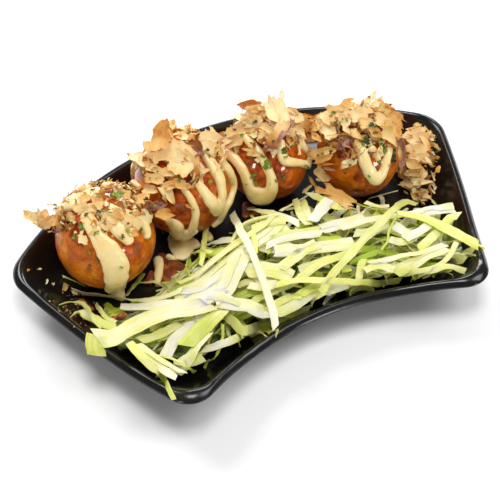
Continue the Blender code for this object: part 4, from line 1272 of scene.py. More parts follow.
def laid_spot(family, x, y, z, end_x, end_y, end_z, width, roll, tint, end_tint):
    """A shaving that reaches from its start to its end with its face up and to the front."""
    first, last = Vector((x, y, z)) * MM, Vector((end_x, end_y, end_z)) * MM
    along = (last - first).normalized()
    face = (UP_FRONT - along * UP_FRONT.dot(along)).normalized()
    turn = Matrix((along, face.cross(along), face)).transposed().to_quaternion()
    turn = turn @ Euler((math.radians(roll), 0, 0)).to_quaternion()
    length = (last - first).length
    stretch = (length, width * MM, (length + width * MM) / 2)
    kind = int(random.choice(FAMILY_KINDS[family]))
    return (first + last) / 2, turn, stretch, kind, tint, end_tint


heap_spots["flakes_loose"] = []
for heap, rows in LAID_SHAVINGS.items():
    heap_spots[heap] += [laid_spot(*row) for row in rows]
flake_pieces = {}
for heap, spots in heap_spots.items():
    flake_pieces[heap] = lay_pieces(heap + "_shavings", spots, kinds, shaving_material)
    print(heap, "shavings:", len(spots), "and", triangle_count(flake_pieces[heap]), "triangles")

# %% [markdown]
# ## Herb flecks
# Dried green laver or parsley is shaken over at the end, so its flecks lie on top of
# whatever is there: crust, mayonnaise or shavings. Each fleck is a small bent sheet, made
# as a shaving is, and it is dropped toward its ball until it meets the first surface.

# %% Kinds of fleck
FLECK_KINDS = 6
flecks = bpy.data.collections.new("fleck_kinds")
random = np.random.default_rng(31)
for index in range(FLECK_KINDS):
    mesh = shaving(f"fleck_{index}", random, (4, 2), (0.12, 1.0, 0.5, 0.9, 0.1),
                   curl=random.uniform(-1.2, 1.2), cup=0.5, ruffle=0.05,
                   twist=random.uniform(-0.6, 0.6), teeth=0.16, crumple=0.08)
    flecks.objects.link(bpy.data.objects.new(mesh.name, mesh))
print(FLECK_KINDS, "kinds of fleck")

# %% Herb material
herb_material, tree, shader = start_material(
    "dried_herb", Specular_IOR_Level=0.45, Subsurface_Weight=0.15, Subsurface_Scale=0.0006)
leaf = add_group(tree, BLOTCHES, Blotch_Size=0.0018, Grain_Size=0.0005, Contrast=1.8)
blotched = remap(tree, leaf["Blotch"], 0.0, 1.0, -0.2, 0.2)
green = color_ramp(tree, math_node(tree, "ADD", named_value(tree, "tint"), blotched), [
    (0.0, (0.010, 0.024, 0.008)), (0.3, (0.046, 0.11, 0.008)), (0.6, (0.16, 0.27, 0.014)),
    (1.0, (0.38, 0.50, 0.05))])
finish_surface(tree, shader, green, middle_remap(tree, leaf["Grain"], 0.3, 0.6),
               leaf["Grain"], 0.12 * MM, 0.7)
print("herb material:", len(tree.nodes), "nodes")

# %% Where the flecks lie
# Flecks are (azimuth, polar angle, size in mm, tint from dark to yellow-green)
LAID_FLECKS = {
    "ball_1": [(17, 17, 4.3, 0.35), (-28, 16, 4.3, 0.55), (-34, 25, 2.9, 0.4), (73, 7, 3.6, 0.1),
               (98, 14, 2.1, 0.1), (-152, 34, 2.9, 0.5), (-120, 37, 2.9, 0.6), (-100, 15, 1.7, 0.4),
               (-152, 22, 1.9, 0.1), (-116, 18, 2.1, 0.1), (-89, 21, 2.4, 0.7), (-47, 33, 1.7, 0.4),
               (-4, 19, 2.9, 0.5), (-37, 15, 2.1, 0.3), (-28, 22, 1.7, 0.2), (14, 13, 2.1, 0.2)],
    "ball_2": [(-162, 59, 1.9, 0.45), (-152, 37, 1.7, 0.05), (-144, 58, 2.4, 0.05),
               (-41, 26, 2.4, 0.05), (-35, 37, 2.9, 0.15), (-46, 31, 1.7, 0.6), (-45, 25, 1.4, 0.1),
               (-23, 75, 2, 0.5), (-42, 69, 1.7, 0.5), (-117, 40, 1.9, 0.5), (-142, 119, 2.6, 0.35),
               (-70, 30, 1.4, 0.4)],
    "ball_3": [(144, 43, 3.6, 0.15), (149, 34, 3.1, 0.1), (157, 36, 2.1, 0.1), (150, 28, 1.9, 0.5),
               (169, 12, 2.9, 0.15), (142, 12, 2.1, 0.1), (150, 15, 1.7, 0.5), (-103, 28, 1.7, 0.2),
               (-169, 56, 1.9, 0.55), (-177, 31, 1.7, 0.5), (-170, 41, 1.6, 0.5), (-118, 51, 4.7, 0.5),
               (-137, 70, 2.9, 0.45), (-132, 80, 1.9, 0.5), (-121, 86, 2.4, 0.45),
               (-142, 81, 1.4, 0.55), (-164, 74, 2, 0.5), (-170, 93, 1.6, 0.5), (-105, 73, 1.9, 0.6),
               (-92, 98, 1.6, 0.4), (-85, 39, 3.6, 0.2), (-41, 71, 1.4, 0.6), (-116, 43, 1.4, 0.3),
               (-26, 31, 2.4, 0.5)],
    "ball_4": [(171, 62, 3.1, 0.02), (175, 46, 2.4, 0.3), (152, 29, 2.1, 0.5), (-180, 25, 2.1, 0.55),
               (145, 27, 1.9, 0.4), (-90, 18, 2.9, 0.1), (-85, 22, 1.9, 0.15), (-107, 30, 3.6, 0.2),
               (-117, 32, 2.9, 0.45), (-77, 35, 4.3, 0.45), (-76, 47, 3.6, 0.6), (-93, 57, 2.6, 0.4),
               (-109, 71, 1.7, 0.5), (-64, 61, 4.3, 0.05), (-64, 69, 2.9, 0.05), (-63, 55, 2.6, 0.1),
               (80, 1, 1.6, 0.2), (-22, 8, 1.7, 0.15), (-154, 55, 1.9, 0.05), (-87, 26, 2.1, 0.2),
               (-77, 42, 2.9, 0.5), (-112, 27, 1.9, 0.15), (-174, 18, 1.7, 0.5)],
}
print(sum(len(rows) for rows in LAID_FLECKS.values()), "flecks placed by hand")

# %% Drop the flecks
top_trees = [tree_of(item) for item in [*crusts.values(), *flake_pieces.values(), mayo, sauce]]


def first_surface(start, way):
    """The first point that a ray meets on the dressed balls, or None."""
    hits = [search.ray_cast(start, way) for search in top_trees]
    hits = [(distance, hit) for hit, normal, index, distance in hits if hit is not None]
    return min(hits, key=lambda row: row[0])[1] if hits else None


LOOSE_FLECKS = {"ball_1": 46, "ball_2": 26, "ball_3": 40, "ball_4": 42}
WIDEST_POLAR = 78
FLECK_TILT = 0.35
FLECK_LENGTH = 1.25
fleck_rows = [(name, *row) for name, rows in LAID_FLECKS.items() for row in rows]
for name, count in LOOSE_FLECKS.items():
    for _ in range(count):
        fleck_rows.append((name, random.uniform(-180, 180), WIDEST_POLAR * math.sqrt(random.random()),
                           random.uniform(0.7, 2.3), random.choice([0.15, 0.35, 0.55, 0.75])))
fleck_spots = []
for name, azimuth, polar, size, tint in fleck_rows:
    centre, radius = BALLS[name]
    way = way_to(azimuth, polar)
    place = first_surface(centre + way * 2 * radius, -way)
    if place is not None:
        turn = laid_turn(way, random.uniform(0, FULL_TURN), random.normal(0, FLECK_TILT),
                         random.normal(0, FLECK_TILT))
        stretch = (size * FLECK_LENGTH * MM, size * random.uniform(0.6, 1.0) * MM, size * MM)
        fleck_spots.append((place + way * (0.1 + 0.12 * size) * MM, turn, stretch,
                            int(random.integers(FLECK_KINDS)), tint, tint))
herbs = lay_pieces("herb_flecks", fleck_spots, flecks, herb_material)
print("herb flecks:", len(fleck_spots), "and", triangle_count(herbs), "triangles")

# %% [markdown]
# ## Shredded cabbage
# Cabbage is cut across its rolled leaves, so each shred is a long flat strip with a slight
# cup, nearly white near the rib and green at the leaf's edge. Each shred is drawn as a line
# of points that carry its width, turn and tint. A Geometry Nodes tree sweeps a cupped strip
# along every line at once. About ninety lines are listed where they catch the eye, and a
# seeded loop fills the bed under and between them.

# %% Shreds listed one by one
# (shreds side by side, half width of them all in mm, twist at start and end in degrees,
# tint at start and end, then the points in mm)
# Tints are partly the leaf's own colour and partly painted shade: shreds in the shade of the balls have
# greener, darker tints
KEY_SHREDS = [
    (1, 2.1, 0, 0, 0.3, 0.15, (-28, 15, 6), (-23, 14, 6), (-22, 1, 22), (-18, -5, 27)),
    (1, 2, 0, 10, 0.65, 0.6, (-32, -2, 21), (-27, -7, 25), (-22, -9, 27)),
    (1, 1.7, 10, -10, 0.45, 0.55, (-86, 25, 8), (-83, 21, 7), (-79, 16, 6)),
    (1, 1.9, 0, 20, 0.4, 0.55, (-66, 3, 6), (-60, 6, 7), (-54, 9, 9)),
    (1, 0.6, 0, 40, 0.55, 0.6, (-65, 2, 7), (-60, 6, 8), (-55, 5, 8), (-50, 2, 7), (-51, -13, 20)),
    (2, 2.9, 0, 0, 0.6, 0.55, (-77, 5, 6), (-75, 0, 6), (-75, -15, 19)),
    (1, 0.9, 0, 40, 0.4, 0.5, (-79, 3, 8), (-81, -14, 21), (-79, -21, 23)),
    (1, 1.9, 0, 10, 0.3, 0.45, (-93, -6, 19), (-87, -2, 12), (-85, -19, 26), (-80, -25, 25)),
    (1, 1, 0, 50, 0.45, 0.5, (-94, 4, 17), (-88, 6, 12), (-84, 2, 11), (-87, -17, 27), (-86, -24, 28)),
    (1, 2.1, 0, 0, 0.55, 0.75, (-68, -34, 21), (-63, -34, 20), (-56, -34, 20)),
    (1, 2.4, 10, 0, 0.35, 0.3, (-74, -34, 24), (-69, -34, 22), (-61, -33, 21), (-55, -33, 22)),
    (1, 2.1, 20, 0, 0.02, 0.05, (-68, -46, 23), (-61, -39, 21), (-54, -37, 23), (-51, -35, 23)),
    (2, 3, 30, 10, 0.12, 0.35, (-64, -46, 20), (-60, -49, 19), (-53, -50, 19)),
    (2, 4.3, 10, 0, 0.3, 0.25, (-45, -30, 25), (-50, -35, 23), (-55, -38, 21)),
    (1, 1.9, 0, 30, 0.35, 0.4, (-52, -47, 19), (-45, -49, 21), (-37, -49, 21), (-25, -39, 8),
         (-16, -41, 9), (-9, -43, 10)),
    (1, 1.6, 0, 20, 0.35, 0.3, (-28, -42, 8), (-22, -43, 9), (-22, -55, 22)),
    (1, 2.1, 30, 0, 0.3, 0.25, (-37, -39, 24), (-36, -43, 23), (-34, -49, 24), (-21, -39, 8),
         (-15, -38, 8)),
    (1, 2.1, 0, 0, 0.7, 0.65, (-31, -33, 25), (-25, -34, 26), (-19, -35, 26)),
    (1, 1.6, 0, 10, 0.4, 0.35, (-25, -38, 25), (-16, -38, 26), (-8, -38, 26)),
    (1, 2.1, 0, 0, 0.3, 0.35, (-21, -44, 25), (-16, -44, 26), (-10, -44, 26)),
    (2, 3.6, 0, 10, 0.15, 0.2, (-12, -12, 30), (-6, -20, 31), (2, -20, 31)),
    (2, 3.9, 0, -10, 0.12, 0.1, (-20, -24, 30), (-16, -32, 30), (-11, -36, 28)),
    (2, 2.9, 20, 0, 0.12, 0.2, (-28, -31, 28), (-21, -32, 29), (-14, -34, 29), (-5, -34, 29)),
    (3, 5.6, 0, 10, 0.22, 0.1, (4, -7, 31), (-6, -12, 33), (-16, -14, 32), (-29, -17, 30),
         (-39, -19, 27), (-48, -18, 24)),
    (2, 3.4, -10, 10, 0.15, 0.12, (-16, -18, 33), (-25, -23, 32), (-34, -25, 30), (-42, -25, 27),
         (-51, -19, 23)),
    (1, 1.4, 0, 20, 0.15, 0.05, (-48, -19, 25), (-56, -17, 22), (-63, -12, 19), (-68, 1, 8),
         (-75, 7, 8), (-81, 11, 8), (-85, 15, 9)),
    (1, 2.4, 0, 0, 0.08, 0.12, (-72, -9, 16), (-67, -15, 20), (-60, -21, 24), (-52, -27, 26),
         (-43, -31, 28), (-34, -31, 31)),
    (2, 4.1, 0, 10, 0.18, 0.1, (-19, -17, 33), (-27, -26, 34), (-34, -31, 31), (-40, -32, 29)),
    (1, 4.6, 14, -8, 0.3, 0.18, (-90, -30, 30), (-84, -33, 31), (-75, -29, 27), (-65, -27, 25),
         (-56, -28, 26), (-49, -31, 27), (-42, -33, 28)),
    (1, 3.4, 0, 0, 0.38, 0.3, (-90, -28, 30), (-92, -32, 29), (-92, -34, 24)),
    (2, 2.9, 0, 0, 0.18, 0.12, (-40, -33, 28), (-35, -38, 30), (-29, -42, 29), (-24, -47, 28),
         (-16, -40, 10)),
    (1, 2, 0, 60, 0.12, 0.2, (-41, -30, 29), (-36, -36, 31), (-32, -41, 30)),
    (1, 3.7, 20, 0, 0.3, 0.62, (-37, -37, 28), (-43, -39, 26), (-50, -41, 24), (-58, -44, 22)),
    (1, 2.8, 35, 0, 0.04, 0.12, (-48, -44, 24), (-55, -47, 22), (-61, -50, 19), (-66, -50, 16)),
    (2, 3.2, 10, 0, 0.15, 0.06, (-77, -38, 27), (-74, -45, 27), (-71, -52, 26), (-68, -60, 29)),
    (1, 1.9, 0, 20, 0.3, 0.42, (-79, -37, 29), (-78, -45, 29), (-76, -52, 30), (-72, -52, 18),
         (-75, -66, 31), (-75, -70, 28)),
    (1, 0.7, 0, 60, 0.5, 0.5, (-71, -44, 24), (-66, -48, 23), (-62, -53, 22), (-57, -50, 10)),
    (1, 0.6, 0, 60, 0.45, 0.5, (-40, -41, 23), (-43, -47, 21), (-48, -51, 18), (-49, -46, 7),
         (-52, -48, 8)),
    (1, 1.1, 0, 40, 0.32, 0.4, (-36, -12, 26), (-32, -6, 27), (-22, 13, 13), (-17, 20, 14)),
    (1, 0.9, 0, 60, 0.5, 0.6, (-29, -9, 29), (-32, -2, 24), (-32, 7, 11), (-40, -6, 22),
         (-42, -14, 25)),
    (1, 0.9, 0, 20, 0.3, 0.35, (-20, -9, 30), (-14, -3, 28), (-8, 0, 28), (-1, -2, 30), (6, -4, 30)),
    (1, 1.1, 0, 0, 0.3, 0.3, (-16, -24, 36), (-13, -18, 35), (-11, -12, 35)),
    (1, 1.4, 0, 20, 0.06, 0.02, (-6, 18, 15), (-16, -11, 37), (-19, -27, 41), (-20, -36, 38),
         (-21, -44, 34), (-22, -51, 31), (-24, -57, 28)),
    (1, 1.9, 0, 10, 0.3, 0.4, (77, 2, 7), (81, -5, 8), (82, -11, 10), (81, -17, 11)),
    (1, 1.6, 0, 0, 0.1, 0.15, (58, 4, 7), (64, 3, 8), (71, 1, 9)),
    (1, 1.1, 30, 0, 0.15, 0.2, (47, -9, 22), (51, -14, 23), (56, -15, 21)),
    (1, 0.9, 30, 60, 0.08, 0.1, (62, 2, 10), (62, -1, 9), (53, -15, 22)),
    (1, 0.8, 0, 10, 0.2, 0.1, (10, 2, 25), (22, 9, 18), (36, 18, 9)),
    (1, 0.9, 0, 10, 0.3, 0.3, (-10, 2, 24), (-5, 0, 27), (2, -3, 29)),
    (1, 2.5, 0, 0, 0.25, 0.15, (6, 24, 7), (5, 3, 25), (8, -7, 30), (11, -13, 30)),
    (2, 3.4, 20, 0, 0.18, 0.25, (23, 9, 19), (16, -8, 30), (16, -15, 30)),
    (1, 2.3, 0, 30, 0.05, 0.1, (16, -15, 31), (22, -11, 31), (30, -6, 29)),
    (1, 2.2, 0, 0, 0.1, 0.2, (28, 7, 22), (29, -5, 28), (31, -13, 29)),
    (2, 4.7, 0, 0, 0.15, 0.2, (-11, -8, 29), (-3, -9, 31), (6, -11, 31)),
    (1, 1.7, 0, 0, 0.65, 0.6, (14, -23, 28), (19, -25, 28), (25, -26, 26)),
    (1, 1.7, 0, 0, 0.45, 0.45, (-9, -21, 31), (1, -19, 31), (8, -17, 31)),
    (2, 3, 0, 10, 0.12, 0.2, (-11, -18, 32), (-3, -18, 33), (7, -19, 32), (17, -21, 30)),
    (2, 3.1, 0, 10, 0.12, 0.15, (16, -19, 30), (24, -20, 29), (32, -21, 29), (39, -21, 27)),
    (1, 2.3, 0, 0, 0.15, 0.1, (30, -27, 28), (38, -29, 28), (48, -26, 25)),
    (2, 3, 10, 0, 0.14, 0.2, (-7, -24, 33), (3, -27, 32), (14, -29, 30), (27, -32, 29)),
    (2, 2.8, 0, 10, 0.22, 0.25, (-9, -33, 32), (0, -30, 32), (6, -28, 32), (12, -27, 31)),
    (2, 3.6, 10, 0, 0.1, 0.12, (-22, -27, 32), (-16, -30, 33), (-10, -34, 32), (-6, -38, 30)),
    (2, 3.1, -10, 0, 0.06, 0.1, (-25, -31, 30), (-19, -35, 30), (-13, -36, 30)),
    (1, 2, 0, 10, 0.32, 0.35, (-4, -39, 29), (5, -37, 30), (15, -36, 29), (24, -37, 29)),
    (1, 1.9, 0, 0, 0.15, 0.2, (-1, -34, 28), (7, -35, 28), (15, -34, 27)),
    (1, 1.4, 0, 10, 0.18, 0.15, (25, -24, 31), (41, -24, 29), (56, -24, 24), (70, -24, 20),
         (79, -31, 26)),
    (1, 1.7, 0, 20, 0.15, 0.12, (63, -25, 20), (71, -27, 21), (79, -32, 24)),
    (1, 1.2, 0, 0, 0.8, 0.7, (21, -39, 26), (27, -39, 26), (34, -40, 27)),
    (1, 1.6, 0, 0, 0.7, 0.6, (16, -40, 25), (20, -41, 25)),
    (1, 1.1, 0, 0, 0.5, 0.45, (21, -38, 7), (26, -40, 8), (31, -43, 8)),
    (1, 1.9, 0, 0, 0.5, 0.5, (-7, -45, 26), (0, -43, 25), (5, -44, 25)),
    (1, 1.1, 0, 0, 0.65, 0.6, (-11, -44, 26), (-6, -46, 26)),
    (1, 2, 0, 10, 0.2, 0.15, (-20, -48, 25), (-11, -48, 25), (-1, -45, 23), (7, -46, 24),
         (15, -47, 23)),
    (1, 1.9, 0, 10, 0.3, 0.35, (-24, -40, 9), (-16, -42, 10), (-6, -42, 11), (1, -42, 10)),
    (2, 2.8, 0, 20, 0.35, 0.3, (-31, -38, 26), (-26, -41, 26), (-22, -47, 25)),
    (1, 1.7, 30, 0, 0.3, 0.25, (-36, -49, 23), (-25, -41, 8), (-26, -54, 21)),
    (1, 1.6, 0, 0, 0.3, 0.35, (21, -47, 23), (23, -44, 26), (27, -40, 26)),
    (1, 1.7, 0, 0, 0.15, 0.2, (28, -43, 26), (38, -45, 26), (45, -46, 26), (52, -47, 24)),
    (1, 2, 0, 0, 0.18, 0.2, (24, -46, 27), (31, -46, 26), (36, -51, 26)),
    (1, 1.1, 20, 0, 0.08, 0.1, (7, -43, 10), (11, -40, 9), (15, -38, 8)),
    (2, 3.1, 0, 15, 0.25, 0.1, (36, -51, 25), (46, -50, 25), (54, -49, 25), (63, -50, 26)),
    (1, 1.2, 0, 30, 0.25, 0.3, (40, -50, 19), (45, -56, 26), (52, -58, 27), (60, -56, 27),
         (66, -52, 29)),
    (1, 1.4, 0, 0, 0.35, 0.2, (49, -48, 10), (49, -58, 26), (56, -60, 27), (64, -63, 22)),
    (1, 0.6, 0, 0, 0.1, 0.1, (58, -50, 11), (61, -53, 13), (61, -59, 18)),
    (1, 2, 0, 20, 0.35, 0.3, (52, -45, 24), (61, -41, 23), (69, -38, 23), (74, -36, 25), (78, -37, 25)),
    (1, 1.6, 0, 0, 0.2, 0.25, (43, -35, 26), (47, -38, 25), (54, -38, 23)),
    (2, 2.6, 20, 0, 0.16, 0.1, (50, -28, 25), (52, -34, 25), (56, -38, 23)),
    (1, 2.3, -20, 0, 0.12, 0.14, (49, -38, 26), (58, -36, 24), (66, -33, 22)),
    (1, 0.6, 0, 40, 0.6, 0.7, (35, -41, 29), (40, -38, 30), (45, -32, 29), (54, -25, 26)),
    (1, 1.6, 0, 10, 0.3, 0.38, (-14, -39, 31), (-3, -41, 30), (8, -47, 30), (24, -48, 21),
         (35, -45, 11), (43, -47, 11)),
    (1, 2.3, 0, 10, 0.48, 0.4, (55, -23, 25), (63, -28, 23), (67, -35, 24), (69, -47, 28),
         (72, -59, 31)),
    (1, 1.9, 30, 20, 0.25, 0.38, (1, -43, 13), (2, -48, 27), (9, -45, 31), (18, -41, 33), (29, -36, 34),
         (41, -30, 32), (53, -22, 27), (68, -10, 13), (73, -13, 12)),
]
print(len(KEY_SHREDS), "lines of shreds placed by hand")

# %% How a shred lies
SHRED_STEP = 2.2 * MM
MOST_TURN = math.radians(55)
WIDTH_SHARE = 0.92
random = np.random.default_rng(23)


def evened(values, reach):
    """A row of numbers after a moving average over reach steps to each side."""
    padded = np.pad(np.asarray(values, float), reach, mode="edge")
    return np.convolve(padded, np.ones(2 * reach + 1) / (2 * reach + 1), "valid")


def lying_turn(path):
    """Turn at each point of a path that lays a strip flat on the heap, in radians."""
    turns = []
    for point, step in zip(path, np.gradient(path, axis=0)):
        along = Vector(step).normalized()
        level = (Vector((0, 0, 1)) - along * along.z).normalized()
        normal = bed_tree.find_nearest(Vector(point))[1]
        lying = (normal - along * normal.dot(along)).normalized()
        turn = math.atan2(along.dot(level.cross(lying)), level.dot(lying))
        turns.append(max(-MOST_TURN, min(MOST_TURN, turn)))
    return evened(turns, 3)


def shred_rows(path, half_width, twists, tints, taper=(1.0, 1.0)):
    """Rows of x, y, z, half width, turn, tint and slant of the cut along one shred."""
    t = np.linspace(0, 1, len(path))
    phase = random.uniform(0, FULL_TURN)
    width = half_width * (1 + 0.06 * np.sin(6 * t + phase) + 0.05 * np.sin(15 * t + 2 * phase))
    width *= np.interp(t, [0, 0.04, 0.96, 1], [taper[0], 1, 1, taper[1]])
    turn = lying_turn(path) + np.radians(np.interp(t, [0, 1], twists))
    tint = np.interp(t, [0, 1], tints) + 0.05 * np.sin(9 * t + phase)
    slant = np.full(len(path), random.uniform(-0.9, 0.9))
    return np.column_stack([path, width, turn, tint, slant])


def beside(path, offset, fan):
    """A path moved sideways, more at its end than at its start when fan is positive."""
    ahead = np.gradient(path[:, :2], axis=0)
    ahead /= np.linalg.norm(ahead, axis=1, keepdims=True)
    spread = offset * (1 + fan * np.linspace(-0.5, 0.5, len(path)))
    moved = path.copy()
    moved[:, 0] -= ahead[:, 1] * spread
    moved[:, 1] += ahead[:, 0] * spread
    return moved


# %% Strips along the lines
strips = []
for count, half_width, first_twist, last_twist, first_tint, last_tint, *points in KEY_SHREDS:
    path = smooth_path([tuple(c * MM for c in point) for point in points], SHRED_STEP)
    path[:, 2] = evened(path[:, 2], 2)
    share = half_width * WIDTH_SHARE / count
    for index in range(count):
        side = beside(path, (2 * index - count + 1) * share * MM, random.uniform(-0.3, 0.7))
        side[:, 2] -= random.uniform(0, 0.7) * (count - 1) * MM
        side = side[int(random.uniform(0, 2.5) * (count > 1)):]
        tint = random.normal(0, 0.08)
        strips.append(shred_rows(side, share * random.uniform(0.9, 1.25) * MM, (first_twist, last_twist),
                                 (first_tint + tint + random.normal(0, 0.06), last_tint + tint),
                                 (random.uniform(0.85, 1), random.uniform(0.85, 1))))
placed_by_hand = len(strips)
print(placed_by_hand, "strips placed by hand")


# %% Shreds that fill the bed
FILL_COUNT = 310
# The bed's middle line and its half width, both in mm along x
BED_X = (-86, -60, -30, 0, 30, 55, 72)
BED_LINE = (-22, -19, -20, -18, -22, -32, -42)
BED_HALF = (4, 11, 19, 26, 26, 21, 13)
# Half widths in mm and tints, each with its share of the shreds
FILL_WIDTHS = {0.4: 0.27, 0.8: 0.27, 1.3: 0.24, 1.8: 0.15, 2.5: 0.07}
FILL_TINTS = {0.06: 0.26, 0.2: 0.26, 0.36: 0.24, 0.55: 0.15, 0.75: 0.09}
HEADING_SPREAD = 34
TOP_LAYER = 0.85
LEAST_RISE = 1.2 * MM
WAVE_HEIGHT = 1.1 * MM
FEWEST_POINTS = 5


def draw(shares):
    """One of the values, drawn as often as its share says."""
    return random.choice(list(shares), p=list(shares.values()))


def fill_shred_rows():
    """One random shred that follows the bed's heights, or None if it leaves the bed."""
    x = random.uniform(-62, 66)
    y = np.interp(x, BED_X, BED_LINE) + random.uniform(-1, 1) * np.interp(x, BED_X, BED_HALF)
    slope = math.degrees(math.atan2(0.25 * (x < 20) - 0.35 * (x > 40), 1))
    heading = math.radians(slope + random.normal(0, HEADING_SPREAD))
    length = random.uniform(14, 48)
    bend = random.normal(0, 1.1) / max(length, 24)
    layer = TOP_LAYER * random.random() ** 0.6
    wave = random.uniform(0, FULL_TURN)
    points = []
    for s in np.linspace(-length / 2, length / 2, int(length * MM / SHRED_STEP) + 2):
        turn = heading + bend * s
        px = (x + s * math.cos(turn)) * MM
        py = (y + s * math.sin(turn)) * MM
        ground = drop_on(dish_tree, px, py)
        top = drop_on(bed_tree, px, py)
        if ground is not None and top is not None:
            rise = (top - ground) * (0.12 + 0.88 * layer) + WAVE_HEIGHT * math.sin(s / 6 + wave)
            points.append((px, py, ground + max(LEAST_RISE, rise)))
    if len(points) < FEWEST_POINTS:
        return None
    path = np.array(points)
    path[:, 2] = evened(path[:, 2], 3)
    half_width = draw(FILL_WIDTHS) * MM
    twist = random.normal(0, 22)
    # Painted shade: shreds lower in the bed get a greener, darker tint on top of their drawn tint
    tint = draw(FILL_TINTS) + 0.10 * (TOP_LAYER - layer)
    return shred_rows(path, half_width, (twist, twist + random.normal(0, 45)),
                      (tint, tint + random.normal(0, 0.14)),
                      (random.uniform(0.5, 1), random.uniform(0.5, 1)))


while len(strips) < placed_by_hand + FILL_COUNT:
    rows = fill_shred_rows()
    if rows is not None:
        strips.append(rows)
print(len(strips), "shreds")


# %% A tree that sweeps a strip along each line
def strip_sweeper():
    """Geometry Nodes that sweep a cupped strip along lines and cut its ends on the slant."""
    tree, given, result = start_tree(
        "sweep_strips", "GeometryNodeTree",
        {"Lines": "Geometry", "Cup": "Float", "Ripple": "Float", "Ripple Size": "Float",
         "Finish": "Material"}, {"Strips": "Geometry"})

    def store(geometry, name, value, kind="FLOAT"):
        return add_node(tree, "GeometryNodeStoreNamedAttribute", {
            "Geometry": geometry, "Name": name, "Value": value},
            data_type=kind, domain="POINT").outputs["Geometry"]

    def vector(operation, inputs):
        return add_node(tree, "ShaderNodeVectorMath", inputs, operation=operation).outputs["Vector"]

    # The lines, with their widths and turns
    lines = add_node(tree, "GeometryNodeMeshToCurve", {"Mesh": given["Lines"]})
    level = add_node(tree, "GeometryNodeSetCurveNormal", {"Curve": lines.outputs["Curve"]})
    level.mode = "Z_UP"
    sized = add_node(tree, "GeometryNodeSetCurveRadius", {
        "Curve": level.outputs["Curve"], "Radius": stored(tree, "half_width")})
    turned = add_node(tree, "GeometryNodeSetCurveTilt", {
        "Curve": sized.outputs["Curve"], "Tilt": stored(tree, "turn")})
    # What each point keeps: its place along the line, how near an end it is, and its heading
    place = add_node(tree, "GeometryNodeSplineParameter").outputs
    doubled = math_node(tree, "MULTIPLY", place["Factor"], 2.0)
    centred = math_node(tree, "SUBTRACT", doubled, 1.0)
    end = math_node(tree, "POWER", math_node(tree, "ABSOLUTE", centred), 6.0)
    tangent = add_node(tree, "GeometryNodeInputTangent").outputs["Tangent"]
    marked = store(turned.outputs["Curve"], "along", place["Length"])
    marked = store(store(marked, "end", end), "heading", tangent, "FLOAT_VECTOR")
    # The cupped section, swept along the lines
    sag = add_node(tree, "ShaderNodeCombineXYZ", {"Y": given["Cup"]})
    profile = add_node(tree, "GeometryNodeCurveQuadraticBezier", {
        "Resolution": 4, "Start": (-1, 0, 0), "Middle": sag.outputs["Vector"], "End": (1, 0, 0)})
    spot = add_node(tree, "GeometryNodeInputPosition").outputs["Position"]
    across = add_node(tree, "ShaderNodeSeparateXYZ", {"Vector": spot}).outputs["X"]
    swept = add_node(tree, "GeometryNodeCurveToMesh", {
        "Curve": marked, "Profile Curve": store(profile.outputs["Curve"], "across", across),
        "Scale": add_node(tree, "GeometryNodeInputRadius").outputs["Radius"], "Fill Caps": False})
    # The slanted cut at the ends, and soft ripples
    cut = math_node(tree, "MULTIPLY", stored(tree, "across"), stored(tree, "slant"))
    reach = math_node(tree, "MULTIPLY", stored(tree, "end"), stored(tree, "half_width"))
    slide = vector("SCALE", {0: stored(tree, "heading", "FLOAT_VECTOR"),
                             "Scale": math_node(tree, "MULTIPLY", cut, reach)})
    waves = add_node(tree, "ShaderNodeTexNoise", {
        "Vector": spot, "Scale": math_node(tree, "DIVIDE", 1.0, given["Ripple Size"]), "Detail": 1.0})
    lift = vector("SUBTRACT", {0: waves.outputs["Color"], 1: (0.5, 0.5, 0.5)})
    wavy = vector("SCALE", {0: lift, "Scale": given["Ripple"]})
    moved = add_node(tree, "GeometryNodeSetPosition", {
        "Geometry": swept.outputs["Mesh"], "Offset": vector("ADD", {0: slide, 1: wavy})})
    hand_out(tree, moved.outputs["Geometry"], given["Finish"], result["Strips"])
    return tree


STRIP_SWEEPER = strip_sweeper()


# %% Sweep strips with the tree
def sweep_strips(name, rows_of_strips, material, thickness, cup, ripple, ripple_size):
    """A plain mesh of strips swept along rows from shred_rows, then given a thickness."""
    points = np.vstack(rows_of_strips)
    edges = []
    start = 0
    for rows in rows_of_strips:
        edges += [(start + i, start + i + 1) for i in range(len(rows) - 1)]
        start += len(rows)
    mesh = bpy.data.meshes.new(name)
    mesh.from_pydata([tuple(p) for p in points[:, :3]], edges, [])
    for attribute, values in zip(("half_width", "turn", "tint", "slant"), points.T[3:]):
        store_values(mesh, attribute, "FLOAT", values)
    item = new_piece(name, mesh)
    run_tree(item, STRIP_SWEEPER, Cup=cup, Ripple=ripple, Ripple_Size=ripple_size, Finish=material)
    thick = item.modifiers.new("thick", "SOLIDIFY")
    thick.thickness = thickness
    thick.offset = 0
    return crisp(baked(item))


# %% Cabbage material
cabbage_material, tree, shader = start_material(
    "raw_cabbage", Specular_IOR_Level=0.5, Subsurface_Weight=0.7,
    Subsurface_Radius=(0.9, 1.0, 0.35), Subsurface_Scale=0.002)
tint = named_value(tree, "tint")
leaf = add_group(tree, BLOTCHES, Blotch_Size=0.010, Grain_Size=0.0012, Contrast=1.7)
across = named_value(tree, "across")
lengthwise = add_node(tree, "ShaderNodeCombineXYZ", {
    "X": math_node(tree, "MULTIPLY", across, 3.2),
    "Y": math_node(tree, "MULTIPLY", named_value(tree, "along"), 80.0),
    "Z": math_node(tree, "MULTIPLY", named_value(tree, "slant"), 20.0)})
veins = add_node(tree, "ShaderNodeTexNoise", {
    "Vector": lengthwise.outputs["Vector"], "Scale": 1.0, "Detail": 3.0})
toward_edge = math_node(tree, "MULTIPLY", math_node(tree, "MULTIPLY", across, across), 0.08)
varied = math_node(tree, "ADD", tint, remap(tree, leaf["Blotch"], 0.1, 0.9, -0.12, 0.14))
streaked = math_node(tree, "ADD", varied, remap(tree, veins.outputs["Fac"], 0.3, 0.7, -0.09, 0.11))
